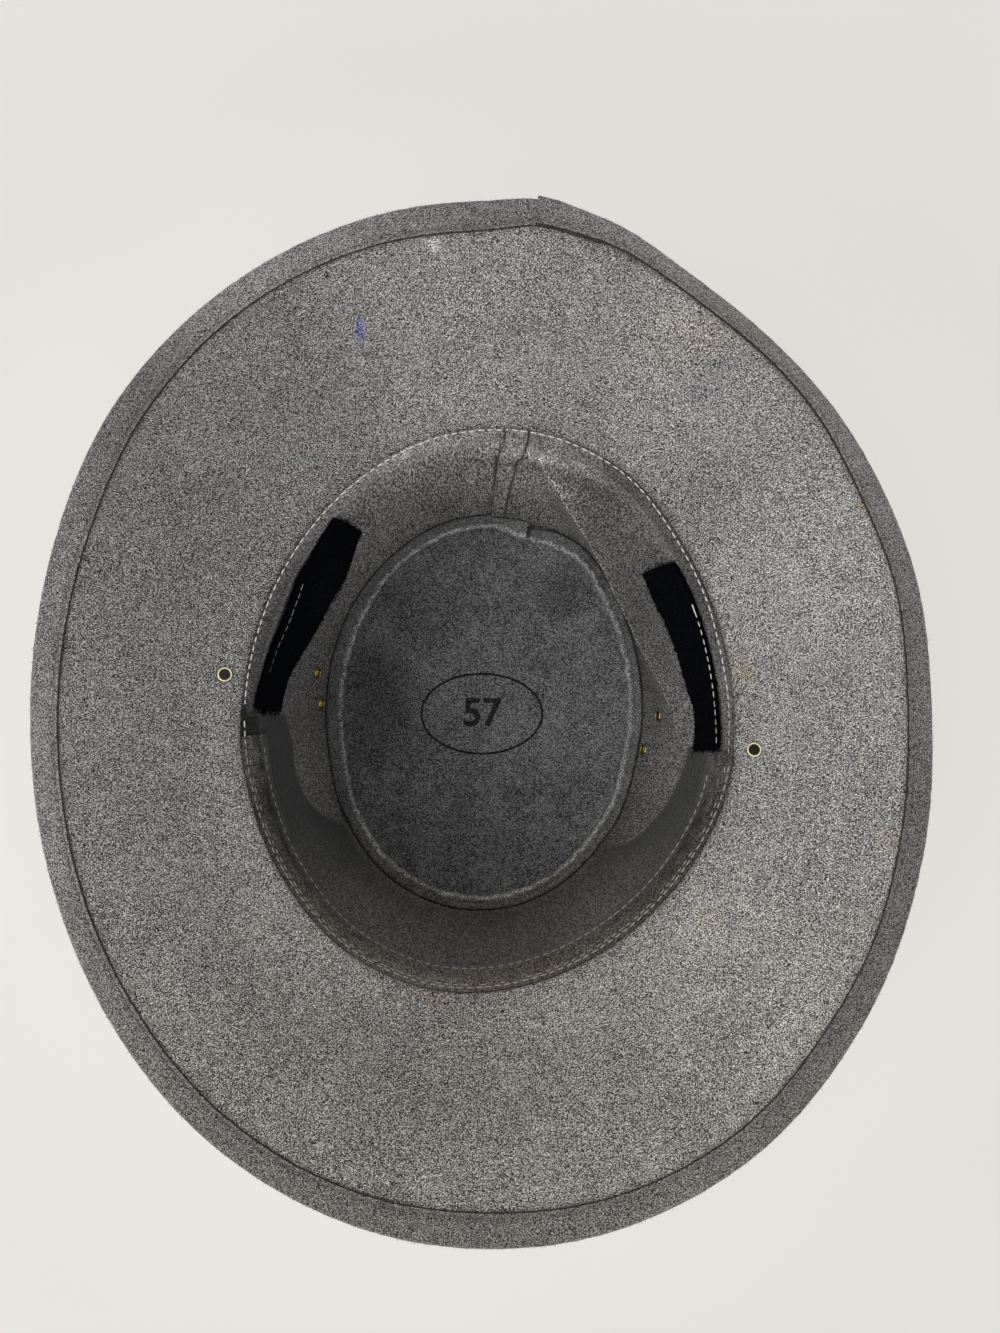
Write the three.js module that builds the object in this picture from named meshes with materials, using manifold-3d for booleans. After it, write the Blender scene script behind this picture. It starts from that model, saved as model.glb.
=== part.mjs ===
import * as THREE from 'three';
import Module from 'manifold-3d';
import { mergeVertices } from 'three/addons/utils/BufferGeometryUtils.js';

const wasm = await Module();
wasm.setup();

// An outback hat of grey felt, lying upside down on the flat tip of its crown.
// Millimetres, +Z up: the origin is under the middle of the tip and the brim is at the top.
// +X is the wearer's right and -Y the wearer's front. Angles run from +X towards +Y, in degrees.

const joinHeight = 95; // upper face of the brim where the crown is sewn to it
const felt = 1.8; // thickness of the crown wall and the brim
const tipThickness = 2;
const gap = 0.3; // left between pieces that touch
const footHeight = tipThickness + gap; // the wall stands on the rim of the tip

const wallInset = 3.6; // inner face of the wall, inside the seam, at the top
const brimInset = 0.6; // inner edge of the brim, inside the seam
const bendDrop = 1; // the wall starts to turn outward this far under the seam

const tapeWidth = 11; // brim binding, from its sewn edge to the fold
const tape = 1;
const panel = { thickness: 1.2, room: 0.1, lowest: 5 };
const strip = { width: 16, thickness: 1.6, room: 0.2, topHeight: 90, sag: 0.8 };

// A brass eyelet: hole, barrel and flange are radii, sheet the brass under the felt and over it.
const eyelet = { hole: 1.85, barrel: 2.15, flange: 2.75, sheet: 0.5, chamfer: 0.15, room: 0.15, sides: 10 };

// One row for each 20 degrees. tip, join and edge are plan radii: of the crown's foot, of the seam
// that joins crown and brim, and of the bound edge. lift is how far the brim rises from the seam
// to the hem, drop how far the hem rolls down again, and a bias over 1 moves the rise outward.
const sections = [
  { angle: 0, tip: 69.2, join: 84.0, edge: 151.5, lift: 12, drop: 3.7, bias: 1.15 },
  { angle: 20, tip: 71.2, join: 84.7, edge: 153.9, lift: 13, drop: 4.5, bias: 1.25 },
  { angle: 40, tip: 76.2, join: 88.8, edge: 156.6, lift: 17, drop: 6.3, bias: 1.45 },
  { angle: 60, tip: 84.4, join: 94.1, edge: 160.8, lift: 20, drop: 6.5, bias: 1.6 },
  { angle: 80, tip: 86.2, join: 96.7, edge: 171.3, lift: 17, drop: 3.0, bias: 1.15 },
  { angle: 100, tip: 85.4, join: 95.6, edge: 172.4, lift: 16, drop: 3.0, bias: 1 },
  { angle: 120, tip: 80.0, join: 90.6, edge: 168.1, lift: 16, drop: 3.5, bias: 1 },
  { angle: 140, tip: 74.9, join: 86.1, edge: 162.0, lift: 15, drop: 2.5, bias: 0.95 },
  { angle: 160, tip: 71.1, join: 83.5, edge: 154.5, lift: 15, drop: 2.5, bias: 0.95 },
  { angle: 180, tip: 69.6, join: 83.5, edge: 151.5, lift: 15, drop: 3.2, bias: 0.95 },
  { angle: 200, tip: 71.6, join: 85.3, edge: 153.9, lift: 15.5, drop: 3.5, bias: 0.95 },
  { angle: 220, tip: 78.1, join: 89.4, edge: 159.2, lift: 17, drop: 2.2, bias: 0.95 },
  { angle: 240, tip: 84.3, join: 94.2, edge: 165.9, lift: 20, drop: 2.0, bias: 1 },
  { angle: 260, tip: 87.6, join: 96.0, edge: 169.8, lift: 23, drop: 1.0, bias: 1 },
  { angle: 280, tip: 86.6, join: 93.4, edge: 170.3, lift: 24, drop: 0.5, bias: 1 },
  { angle: 300, tip: 81.4, join: 89.7, edge: 168.2, lift: 21, drop: 1.8, bias: 1 },
  { angle: 320, tip: 75.2, join: 87.2, edge: 161.4, lift: 17, drop: 2.4, bias: 0.95 },
  { angle: 340, tip: 70.0, join: 85.9, edge: 154.9, lift: 14, drop: 3.2, bias: 1 },
];

// How the wall turns out over the brim: in is measured from the seam, under from the flange's height.
const flangeBend = [
  { in: 2.4, under: 0.8 },
  { in: 1.3, under: 0 },
  { in: -2, under: 0 },
];
const panelBend = [
  { in: 3.5, under: 0.5 },
  { in: 1.6, under: 0 },
  { in: -1, under: 0 },
];

// The dent at the back right of the crown: a fold runs round the wall, pushed in by depth.
const dent = { foot: 7, top: 93 };
const fold = [
  { angle: -12, height: 56, depth: 0 },
  { angle: 5, height: 44, depth: 3.6 },
  { angle: 20, height: 24, depth: 4.4 },
  { angle: 38, height: 29, depth: 8.2 },
  { angle: 53, height: 45, depth: 9 },
  { angle: 66, height: 64, depth: 5.2 },
  { angle: 78, height: 82, depth: 0 },
];

// The lower edge of the sweat panel round the front of the crown.
const panelEdge = [
  { angle: 183, height: 66 },
  { angle: 190, height: 60 },
  { angle: 198, height: 60 },
  { angle: 205, height: 55 },
  { angle: 212, height: 38 },
  { angle: 219.5, height: 5 },
  { angle: 310, height: 5 },
  { angle: 317, height: 36 },
  { angle: 323, height: 62 },
  { angle: 331, height: 77 },
  { angle: 339, height: 83 },
  { angle: 348, height: 86 },
];

// Fastener strips: inset is how far the free inner edge stands in from the sewn one, in plan.
const leftStrip = [
  { angle: 180.5, inset: 6.5 },
  { angle: 172, inset: 7 },
  { angle: 164, inset: 9 },
  { angle: 157, inset: 11.5 },
  { angle: 151, inset: 12.5 },
  { angle: 145, inset: 13 },
  { angle: 138, inset: 12 },
  { angle: 130, inset: 10 },
];
const rightStrip = [
  { angle: -10.5, inset: 5 },
  { angle: -2, inset: 4.5 },
  { angle: 6, inset: 6 },
  { angle: 13, inset: 7.5 },
  { angle: 23, inset: 9.8 },
  { angle: 32, inset: 10 },
  { angle: 40, inset: 9 },
];

const crownEyelets = [
  { name: 'crown_eyelet_left_back', angle: 167.8, height: 19 },
  { name: 'crown_eyelet_left_front', angle: 177.9, height: 9.5 },
  { name: 'crown_eyelet_right_back', angle: -2.1, height: 26 },
  { name: 'crown_eyelet_right_front', angle: -14, height: 9 },
];
const brimEyelets = [
  { name: 'brim_eyelet_left', angle: 173.1, radius: 91.2 },
  { name: 'brim_eyelet_right', angle: -9.2, radius: 93.4 },
];

// Where one end of a band lies over the other: the step is at the angle, and it eases off over run.
const wallLap = { angle: 87, step: 1.2, run: -12 };
const hemLap = { angle: 84.5, step: 0.9, run: -8, bulge: 2, bulgeWidth: 4 };
const tipLap = { angle: 77, step: 1, run: 12 };
const lapHold = 0.4; // share of the run at full thickness
const stepWidth = 0.5; // degrees over which a cut end shows
const stepClear = 1.5; // degrees kept free of other sections beside it

const finishes = {
  felt: { color: 0x777573, roughness: 0.95, metalness: 0 },
  wall: { color: 0x5a5855, roughness: 0.95, metalness: 0 },
  tip: { color: 0x454545, roughness: 0.95, metalness: 0 },
  strip: { color: 0x0c0c10, roughness: 0.9, metalness: 0 },
  brass: { color: 0xb08d3c, roughness: 0.35, metalness: 1 },
};

// Radial sections are planar: x is the distance from the axis, y the height.
const inSection = (radius, height) => new THREE.Vector2(radius, height);

function inPlan(angle, point) {
  const turn = THREE.MathUtils.degToRad(angle);
  return new THREE.Vector3(point.x * Math.cos(turn), point.x * Math.sin(turn), point.y);
}

// A smooth curve through evenly spaced values, at share 0 to 1 between the middle two.
function throughFour(before, from, to, after, share) {
  const startSlope = (to - before) / 2;
  const endSlope = (after - from) / 2;
  const square = share * share;
  const cube = square * share;
  return from * (2 * cube - 3 * square + 1) + startSlope * (cube - 2 * square + share)
    + to * (3 * square - 2 * cube) + endSlope * (cube - square);
}

// All columns of the section table at any angle.
function sectionAt(angle) {
  const spacing = 360 / sections.length;
  const place = THREE.MathUtils.euclideanModulo(angle, 360) / spacing;
  const first = Math.floor(place);
  const near = [-1, 0, 1, 2].map((offset) => sections[(first + offset + sections.length) % sections.length]);
  const column = (name) => throughFour(...near.map((row) => row[name]), place - first);
  const bulge = hemLap.bulge * Math.exp(-(((angle - hemLap.angle) / hemLap.bulgeWidth) ** 2));
  return {
    tip: column('tip'),
    join: column('join'),
    edge: column('edge') + bulge,
    lift: column('lift'),
    drop: column('drop'),
    bias: column('bias'),
  };
}

// One column of a table whose rows have an angle, eased between rows and held beyond the ends.
function fromTable(table, name, angle) {
  const next = table.findIndex((row) => row.angle >= angle);
  if (next === 0) return table[0][name];
  if (next < 0) return table[table.length - 1][name];
  const from = table[next - 1];
  const to = table[next];
  const row = (index) => table[THREE.MathUtils.clamp(index, 0, table.length - 1)][name];
  return throughFour(row(next - 2), from[name], to[name], row(next + 1),
    (angle - from.angle) / (to.angle - from.angle));
}

// Extra thickness where a lapped end lies on top: full at the step, nothing beyond the run.
function lapAt(lap, angle) {
  const share = (angle - lap.angle) / lap.run;
  if (share < 0 || share > 1) return 0;
  return lap.step * (1 - THREE.MathUtils.smoothstep(share, lapHold, 1));
}

// Angles all the way round, closer together over the dent and at the cut ends of laps.
function ringAngles(...laps) {
  const dentSpacing = 6;
  const spacing = 7.5;
  const dentEnd = 90;
  const angles = [];
  for (let angle = 0; angle < dentEnd; angle += dentSpacing) angles.push(angle);
  for (let angle = dentEnd; angle < 360; angle += spacing) angles.push(angle);
  const clear = angles.filter((angle) => laps.every((lap) => Math.abs(angle - lap.angle) > stepClear));
  const cuts = laps.flatMap((lap) => [lap.angle, lap.angle - Math.sign(lap.run) * stepWidth]);
  return [...clear, ...cuts].sort((first, second) => first - second);
}

// Both sides of a felt wall, at the given distances from its middle line.
function wallSides(line, faceDistance, backDistance) {
  const normals = line.map((point, index) => {
    const before = line[Math.max(index - 1, 0)];
    const after = line[Math.min(index + 1, line.length - 1)];
    const along = after.clone().sub(before).normalize();
    return new THREE.Vector2(-along.y, along.x);
  });
  const side = (distance) => line
    .map((point, index) => point.clone().addScaledVector(normals[index], distance));
  return { face: side(faceDistance), back: side(-backDistance) };
}

function volumeOf(positions, index) {
  const corner = (place) => new THREE.Vector3().fromArray(positions, 3 * index[place]);
  let sixfold = 0;
  for (let place = 0; place < index.length; place += 3) {
    sixfold += corner(place).dot(corner(place + 1).cross(corner(place + 2)));
  }
  return sixfold / 6;
}

// A closed body swept through rows. Each row holds a face line and a back line of equal length,
// in a radial section at its angle. A ring joins its last row to the first, others get flat ends.
function sheetGeometry(rows, isRing) {
  const across = rows[0].face.length;
  const loop = 2 * across;
  const points = rows.flatMap(({ angle, face, back }) =>
    [...face, ...back.slice().reverse()].map((point) => inPlan(angle, point)));
  const positions = points.flatMap((point) => point.toArray());
  const index = [];
  const quad = (first, second, third, fourth) => {
    const otherLength = points[second].distanceTo(points[fourth]);
    const firstIsShorter = points[first].distanceTo(points[third]) < otherLength;
    if (firstIsShorter) index.push(first, second, third, first, third, fourth);
    else index.push(second, third, fourth, second, fourth, first);
  };
  const spans = isRing ? rows.length : rows.length - 1;
  for (let span = 0; span < spans; span += 1) {
    const here = span * loop;
    const next = ((span + 1) % rows.length) * loop;
    for (let place = 0; place < loop; place += 1) {
      const beside = (place + 1) % loop;
      quad(here + place, here + beside, next + beside, next + place);
    }
  }
  const last = (rows.length - 1) * loop;
  for (let place = 0; place < across - 1 && !isRing; place += 1) {
    const opposite = loop - 1 - place;
    quad(place + 1, place, opposite, opposite - 1);
    quad(last + place, last + place + 1, last + opposite - 1, last + opposite);
  }
  if (volumeOf(positions, index) < 0) index.reverse();
  const geometry = new THREE.BufferGeometry();
  geometry.setAttribute('position', new THREE.Float32BufferAttribute(positions, 3));
  geometry.setIndex(index);
  return geometry;
}

function toSolid(geometry) {
  const bare = geometry.clone();
  bare.deleteAttribute('normal');
  bare.deleteAttribute('uv');
  const merged = mergeVertices(bare);
  return new wasm.Manifold(new wasm.Mesh({
    numProp: 3,
    vertProperties: new Float32Array(merged.attributes.position.array),
    triVerts: new Uint32Array(merged.index.array),
  }));
}

function fromSolid(solid) {
  const mesh = solid.getMesh();
  const geometry = new THREE.BufferGeometry();
  geometry.setAttribute('position', new THREE.BufferAttribute(new Float32Array(mesh.vertProperties), 3));
  geometry.setIndex(new THREE.BufferAttribute(new Uint32Array(mesh.triVerts), 1));
  return geometry;
}

function named(name, geometry, finish) {
  geometry.computeVertexNormals();
  const mesh = new THREE.Mesh(geometry, new THREE.MeshStandardMaterial(finish));
  mesh.name = name;
  return mesh;
}

// Inner face of the crown wall, without its lap: it bows from the foot to the seam, and folds in.
function wallRadius(angle, height) {
  const { tip, join } = sectionAt(angle);
  const bow = 0.5;
  const rise = THREE.MathUtils.clamp((height - footHeight) / (joinHeight - footHeight), 0, 1);
  const share = rise + bow * Math.sin(2 * Math.PI * rise) / (2 * Math.PI);
  return THREE.MathUtils.lerp(tip, join - wallInset, share) - foldDepth(angle, height);
}

// The dent rises in straight slopes from near the foot and from under the flange to the fold.
function foldDepth(angle, height) {
  const turn = angle > 180 ? angle - 360 : angle;
  const crease = fromTable(fold, 'height', turn);
  const share = height < crease
    ? (height - dent.foot) / (crease - dent.foot)
    : (dent.top - height) / (dent.top - crease);
  return fromTable(fold, 'depth', turn) * THREE.MathUtils.clamp(share, 0, 1);
}

// Heights up the wall at one angle: half below the fold of the dent and half above.
function wallHeights(angle, from, to, count) {
  const margin = 8;
  const turn = angle > 180 ? angle - 360 : angle;
  const crease = THREE.MathUtils.clamp(fromTable(fold, 'height', turn), from + margin, to - margin);
  const heights = [];
  for (let step = 0; step <= count; step += 1) {
    const share = step / count;
    heights.push(share < 0.5
      ? THREE.MathUtils.lerp(from, crease, 2 * share)
      : THREE.MathUtils.lerp(crease, to, 2 * share - 1));
  }
  return heights;
}

// The wall's middle line from foot to rim, turning outward to lie on the brim as a flange.
function wallLine(angle) {
  const levels = 8;
  const { join } = sectionAt(angle);
  const wall = wallHeights(angle, footHeight, joinHeight - bendDrop, levels)
    .map((height) => inSection(wallRadius(angle, height) + felt / 2, height));
  const turned = flangeBend.map((place) => onBrim(angle, join - place.in, felt + gap - place.under));
  return [...wall, ...turned];
}

// A brass ring set through a sheet, lying in the XY plane about the Z axis, and the hole for it.
function eyeletGeometry() {
  const { hole, barrel, flange, sheet, chamfer, room, sides } = eyelet;
  const inner = felt / 2 + room + gap;
  const outer = inner + sheet;
  const rim = flange - chamfer;
  const profile = [
    [hole, -outer], [rim, -outer], [flange, -inner], [barrel, -inner],
    [barrel, inner], [flange, inner], [rim, outer], [hole, outer], [hole, -outer],
  ].map(([radius, height]) => new THREE.Vector2(radius, height));
  const geometry = new THREE.LatheGeometry(profile, sides);
  geometry.deleteAttribute('normal');
  geometry.deleteAttribute('uv');
  return mergeVertices(geometry.rotateX(Math.PI / 2));
}

function holeTool() {
  const depth = 4 * felt;
  const radius = eyelet.barrel + gap;
  return new THREE.CylinderGeometry(radius, radius, depth, eyelet.sides).rotateX(Math.PI / 2);
}

// Where a ring sits: its middle, and its axis square to the sheet.
function seatOn(angle, point, slope) {
  const turn = THREE.MathUtils.degToRad(angle);
  const normal = new THREE.Vector3(-slope.y * Math.cos(turn), -slope.y * Math.sin(turn), slope.x);
  const seat = new THREE.Matrix4().makeRotationFromQuaternion(
    new THREE.Quaternion().setFromUnitVectors(new THREE.Vector3(0, 0, 1), normal.normalize()));
  return seat.setPosition(inPlan(angle, point));
}

function crownSeat({ angle, height }) {
  const reach = eyelet.flange;
  const middle = (level) => inSection(wallRadius(angle, level) + felt / 2, level);
  const slope = middle(height + reach).sub(middle(height - reach)).normalize();
  return seatOn(angle, middle(height), slope);
}

function pierce(geometry, seats) {
  const whole = toSolid(geometry);
  const cut = seats.reduce((solid, seat) => solid.subtract(toSolid(holeTool().applyMatrix4(seat))), whole);
  return fromSolid(cut);
}

function crownSide() {
  const rows = ringAngles(wallLap, hemLap).map((angle) => {
    const { face, back } = wallSides(wallLine(angle), felt / 2 + lapAt(wallLap, angle), felt / 2);
    face[0].y = footHeight;
    back[0].y = footHeight;
    return { angle, face, back };
  });
  return named('crown_side', pierce(sheetGeometry(rows, true), crownEyelets.map(crownSeat)), finishes.wall);
}

function crownTip() {
  const outline = [];
  const spacing = 6;
  for (let angle = 0; angle < 360; angle += spacing) {
    const point = inPlan(angle, inSection(sectionAt(angle).tip + felt, 0));
    outline.push(new THREE.Vector2(point.x, point.y));
  }
  const geometry = new THREE.ExtrudeGeometry(new THREE.Shape(outline),
    { depth: tipThickness, bevelEnabled: false });
  return named('crown_tip', geometry, finishes.tip);
}

// A padded tape over the seam between tip and wall, higher on its inner side.
function tipBinding() {
  const outline = [
    { inset: 0.4, height: 1 }, { inset: 1.6, height: 2.4 }, { inset: 3.8, height: 3.7 },
    { inset: 5.6, height: 3.2 }, { inset: 6.5, height: 1 },
  ];
  const fullInset = 6.5;
  const rows = ringAngles(tipLap, wallLap).map((angle) => {
    const { tip } = sectionAt(angle);
    const lap = lapAt(tipLap, angle);
    const outer = tip - lapAt(wallLap, angle);
    const radius = (inset) => THREE.MathUtils.lerp(outer, tip - fullInset - lap, inset / fullInset);
    const face = outline.map(({ inset, height }) => inSection(radius(inset), footHeight + height + lap));
    const back = outline.map(({ inset }) => inSection(radius(inset), footHeight));
    return { angle, face, back };
  });
  return named('tip_binding', sheetGeometry(rows, true), finishes.tip);
}

// The brim's middle line from the seam to the hem, at share 0 to 1, and its end at the cut edge.
function brimPoint(angle, share) {
  const { join, edge, lift, drop, bias } = sectionAt(angle);
  const ease = 0.6;
  const place = share ** bias;
  const rise = place - ease * Math.sin(2 * Math.PI * place) / (2 * Math.PI);
  const hemRun = Math.sqrt(tapeWidth ** 2 - drop ** 2);
  const start = join - brimInset;
  const end = edge - tape - gap - hemRun;
  return inSection(THREE.MathUtils.lerp(start, end, share), joinHeight - felt / 2 + lift * rise);
}

// A point of a sheet that lies on the brim, so far above the brim's middle line.
function onBrim(angle, radius, above) {
  const start = brimPoint(angle, 0);
  const end = brimPoint(angle, 1);
  const share = Math.max((radius - start.x) / (end.x - start.x), 0);
  return inSection(radius, brimPoint(angle, share).y + above);
}

function hemEnd(angle) {
  const { edge, lift, drop } = sectionAt(angle);
  return inSection(edge - tape - gap, joinHeight - felt / 2 + lift - drop);
}

function brimSeat({ angle, radius }) {
  const reach = eyelet.flange;
  const slope = onBrim(angle, radius + reach, 0).sub(onBrim(angle, radius - reach, 0)).normalize();
  return seatOn(angle, onBrim(angle, radius, 0), slope);
}

function brim() {
  const steps = 7;
  const rows = ringAngles(wallLap, hemLap).map((angle) => {
    const line = [];
    for (let step = 0; step <= steps; step += 1) line.push(brimPoint(angle, step / steps));
    line.push(hemEnd(angle));
    return { angle, ...wallSides(line, felt / 2, felt / 2) };
  });
  return named('brim', pierce(sheetGeometry(rows, true), brimEyelets.map(brimSeat)), finishes.felt);
}

// Tape folded round the brim's edge: along points outward over the hem, across is square to it.
function brimBinding() {
  const inner = felt / 2 + gap; // half the space inside the tape
  const outer = inner + tape;
  const reach = gap + tape;
  const underEdge = 1.2 - tapeWidth; // the lower leg is a little narrower
  const turnStart = -0.5; // the fold is rounded from here on
  const shoulder = 0.7; // share of reach and thickness at its outer corners
  const cornerInside = { out: 0.1, share: 0.8 };
  const rows = ringAngles(wallLap, hemLap).map((angle) => {
    const { drop } = sectionAt(angle);
    const lap = lapAt(hemLap, angle);
    const along = inSection(Math.sqrt(tapeWidth ** 2 - drop ** 2), -drop).normalize();
    const across = inSection(-along.y, along.x);
    const place = (out, up) => hemEnd(angle).addScaledVector(along, out).addScaledVector(across, up);
    const top = outer + lap;
    const face = [[-tapeWidth, top], [turnStart, top], [reach * shoulder, top * shoulder], [reach + lap, 0],
      [reach * shoulder, -outer * shoulder], [turnStart, -outer], [underEdge, -outer]];
    const corner = inner * cornerInside.share;
    const back = [[-tapeWidth, inner], [turnStart, inner], [cornerInside.out, corner], [gap, 0],
      [cornerInside.out, -corner], [turnStart, -inner], [underEdge, -inner]];
    return {
      angle,
      face: face.map(([out, up]) => place(out, up)),
      back: back.map(([out, up]) => place(out, up)),
    };
  });
  return named('brim_binding', sheetGeometry(rows, true), finishes.felt);
}

// A crescent sewn on the flange round the front, hanging down inside the wall.
function frontPanel() {
  const levels = 5;
  const half = panel.thickness / 2;
  const away = gap + panel.room + half;
  const onFlange = 1.5 * felt + gap + away;
  const first = panelEdge[0].angle;
  const last = panelEdge[panelEdge.length - 1].angle;
  const between = ringAngles(wallLap, hemLap).filter((angle) =>
    angle > first + stepClear && angle < last - stepClear);
  const rows = [first, ...between, last].map((angle) => {
    const { join } = sectionAt(angle);
    const bottom = Math.max(fromTable(panelEdge, 'height', angle), panel.lowest);
    const line = [];
    for (let level = 0; level <= levels; level += 1) {
      const height = THREE.MathUtils.lerp(bottom, joinHeight - bendDrop, level / levels);
      line.push(inSection(wallRadius(angle, height) - away, height));
    }
    line.push(...panelBend.map((place) => onBrim(angle, join - place.in, onFlange - place.under)));
    return { angle, ...wallSides(line, half, half) };
  });
  return named('front_panel', sheetGeometry(rows, false), finishes.wall);
}

// Hook-and-loop tape sewn to the wall by its upper edge, the lower edge standing free.
function fastenerStrip(name, table) {
  const levels = 3;
  const half = strip.thickness / 2;
  const away = gap + strip.room + half;
  const rows = table.map(({ angle, inset }) => {
    const fall = Math.sqrt(strip.width ** 2 - inset ** 2);
    const outer = wallRadius(angle, strip.topHeight) - away;
    const line = [];
    for (let level = 0; level <= levels; level += 1) {
      const share = level / levels;
      const dip = strip.sag * Math.sin(Math.PI * share);
      const height = strip.topHeight - fall * share - dip;
      const radius = Math.min(outer - inset * share + dip, wallRadius(angle, height) - away);
      line.push(inSection(radius, height));
    }
    return { angle, ...wallSides(line, half, half) };
  });
  return named(name, sheetGeometry(rows, false), finishes.strip);
}

const brassEyelet = (name, seat) => named(name, eyeletGeometry().applyMatrix4(seat), finishes.brass);

const hat = new THREE.Group();
hat.add(crownTip());
hat.add(crownSide());
hat.add(tipBinding());
hat.add(brim());
hat.add(brimBinding());
hat.add(frontPanel());
hat.add(fastenerStrip('fastener_strip_left', leftStrip));
hat.add(fastenerStrip('fastener_strip_right', rightStrip));
for (const place of brimEyelets) hat.add(brassEyelet(place.name, brimSeat(place)));
for (const place of crownEyelets) hat.add(brassEyelet(place.name, crownSeat(place)));

export default hat;
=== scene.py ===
import math
import random
from functools import lru_cache

import bmesh
import bpy
from mathutils import Matrix, Vector, noise


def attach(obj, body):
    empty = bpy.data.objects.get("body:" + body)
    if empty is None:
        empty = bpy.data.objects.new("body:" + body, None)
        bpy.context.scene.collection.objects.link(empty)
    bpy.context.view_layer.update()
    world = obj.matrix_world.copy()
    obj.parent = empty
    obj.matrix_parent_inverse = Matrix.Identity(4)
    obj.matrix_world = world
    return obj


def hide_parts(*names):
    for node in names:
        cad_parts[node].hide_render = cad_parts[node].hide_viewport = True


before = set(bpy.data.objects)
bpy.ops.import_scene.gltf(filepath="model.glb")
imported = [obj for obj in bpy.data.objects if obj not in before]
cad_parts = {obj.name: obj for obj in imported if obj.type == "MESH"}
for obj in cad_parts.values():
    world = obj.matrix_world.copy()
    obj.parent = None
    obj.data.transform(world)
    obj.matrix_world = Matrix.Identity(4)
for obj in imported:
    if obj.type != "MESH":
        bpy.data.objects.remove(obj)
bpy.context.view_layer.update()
scene = bpy.context.scene
scene.view_settings.view_transform = "Standard"
mm = 0.001
print("stage: frame loaded")

# Camera: below is the pixel straight under it in an image of 1000 by 1333, and lens is in mm.
view = {"place": (-4.96, -6.04, 441), "below": (474, 724), "middle": (500, 666.5), "focal": 1000, "lens": 27}


def addCamera():
    data = bpy.data.cameras.new("camera")
    data.lens = view["lens"]
    data.clip_start = 0.01
    camera = bpy.data.objects.new("camera", data)
    scene.collection.objects.link(camera)
    across = view["below"][0] - view["middle"][0]
    upward = view["middle"][1] - view["below"][1]
    up = -Vector((across, upward, -view["focal"])).normalized()
    right = (Vector((1, 0, 0)) - up * up.x).normalized()
    back = up.cross(right)
    turn = Matrix((right, back, up)).to_4x4()
    camera.matrix_world = Matrix.Translation(Vector(view["place"]) * mm) @ turn
    scene.camera = camera


# Soft light from all round, a wide lamp low on the left and a pale floor. The floor glows by itself as painted
# light, more so near the hat, and is painted dark under the hat as a painted shadow, fading out between the
# two radii of shaded in mm.
light = {
    "sky": (1.0, 0.995, 0.985), "skyStrength": 0.72, "brighterSide": (-0.42, -0.34, 0.1),
    "keyPlace": (-1.5, -0.9, 1.15), "keySize": 1.6, "keyPower": 5.0, "keyColour": (1.0, 0.985, 0.96),
    "floorSize": 8.0, "floorTone": (0.54, 0.533, 0.515), "floorGlow": (0.335, 0.328, 0.312),
    "floorDrop": 0.0003, "shaded": (120, 190), "shadedTone": 0.07, "nearGlow": 0.18, "glowEnds": (310, 200),
}


def addLight():
    world = bpy.data.worlds.new("sky")
    world.use_nodes = True
    tree = world.node_tree
    sky = tree.nodes["Background"]
    sky.inputs["Color"].default_value = (*light["sky"], 1)
    way = tree.nodes.new("ShaderNodeTexCoord")
    slope = tree.nodes.new("ShaderNodeVectorMath")
    slope.operation = "DOT_PRODUCT"
    slope.inputs[1].default_value = light["brighterSide"]
    tree.links.new(way.outputs["Generated"], slope.inputs[0])
    strength = tree.nodes.new("ShaderNodeMath")
    strength.operation = "MULTIPLY_ADD"
    strength.inputs[1].default_value = light["skyStrength"]
    strength.inputs[2].default_value = light["skyStrength"]
    tree.links.new(slope.outputs["Value"], strength.inputs[0])
    tree.links.new(strength.outputs[0], sky.inputs["Strength"])
    scene.world = world
    data = bpy.data.lights.new("key", "AREA")
    data.shape = "DISK"
    data.size = light["keySize"]
    data.energy = light["keyPower"]
    data.color = light["keyColour"]
    key = bpy.data.objects.new("key", data)
    scene.collection.objects.link(key)
    place = Vector(light["keyPlace"])
    key.location = place
    key.rotation_euler = (Vector((0, 0, 0.05)) - place).to_track_quat("-Z", "Y").to_euler()


addCamera()
addLight()
print("stage: camera and light")


# A socket of a shader tree that takes part in sums as a number does.
class Wire:
    def __init__(self, tree, socket):
        self.tree = tree
        self.socket = socket

    def math(self, operation, *values):
        node = self.tree.nodes.new("ShaderNodeMath")
        node.operation = operation
        for target, value in zip(node.inputs, values):
            plug(self.tree, target, value)
        return Wire(self.tree, node.outputs[0])

    def __add__(self, other):
        return self.math("ADD", self, other)

    def __radd__(self, other):
        return self.math("ADD", other, self)

    def __sub__(self, other):
        return self.math("SUBTRACT", self, other)

    def __rsub__(self, other):
        return self.math("SUBTRACT", other, self)

    def __mul__(self, other):
        return self.math("MULTIPLY", self, other)

    def __rmul__(self, other):
        return self.math("MULTIPLY", other, self)

    def __truediv__(self, other):
        return self.math("DIVIDE", self, other)

    def __pow__(self, other):
        return self.math("POWER", self, other)

    def least(self, other):
        return self.math("MINIMUM", self, other)

    def most(self, other):
        return self.math("MAXIMUM", self, other)

    def held(self):
        return self.most(0.0).least(1.0)


def plug(tree, target, value):
    if isinstance(value, Wire):
        tree.links.new(value.socket, target)
    else:
        target.default_value = value


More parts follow.
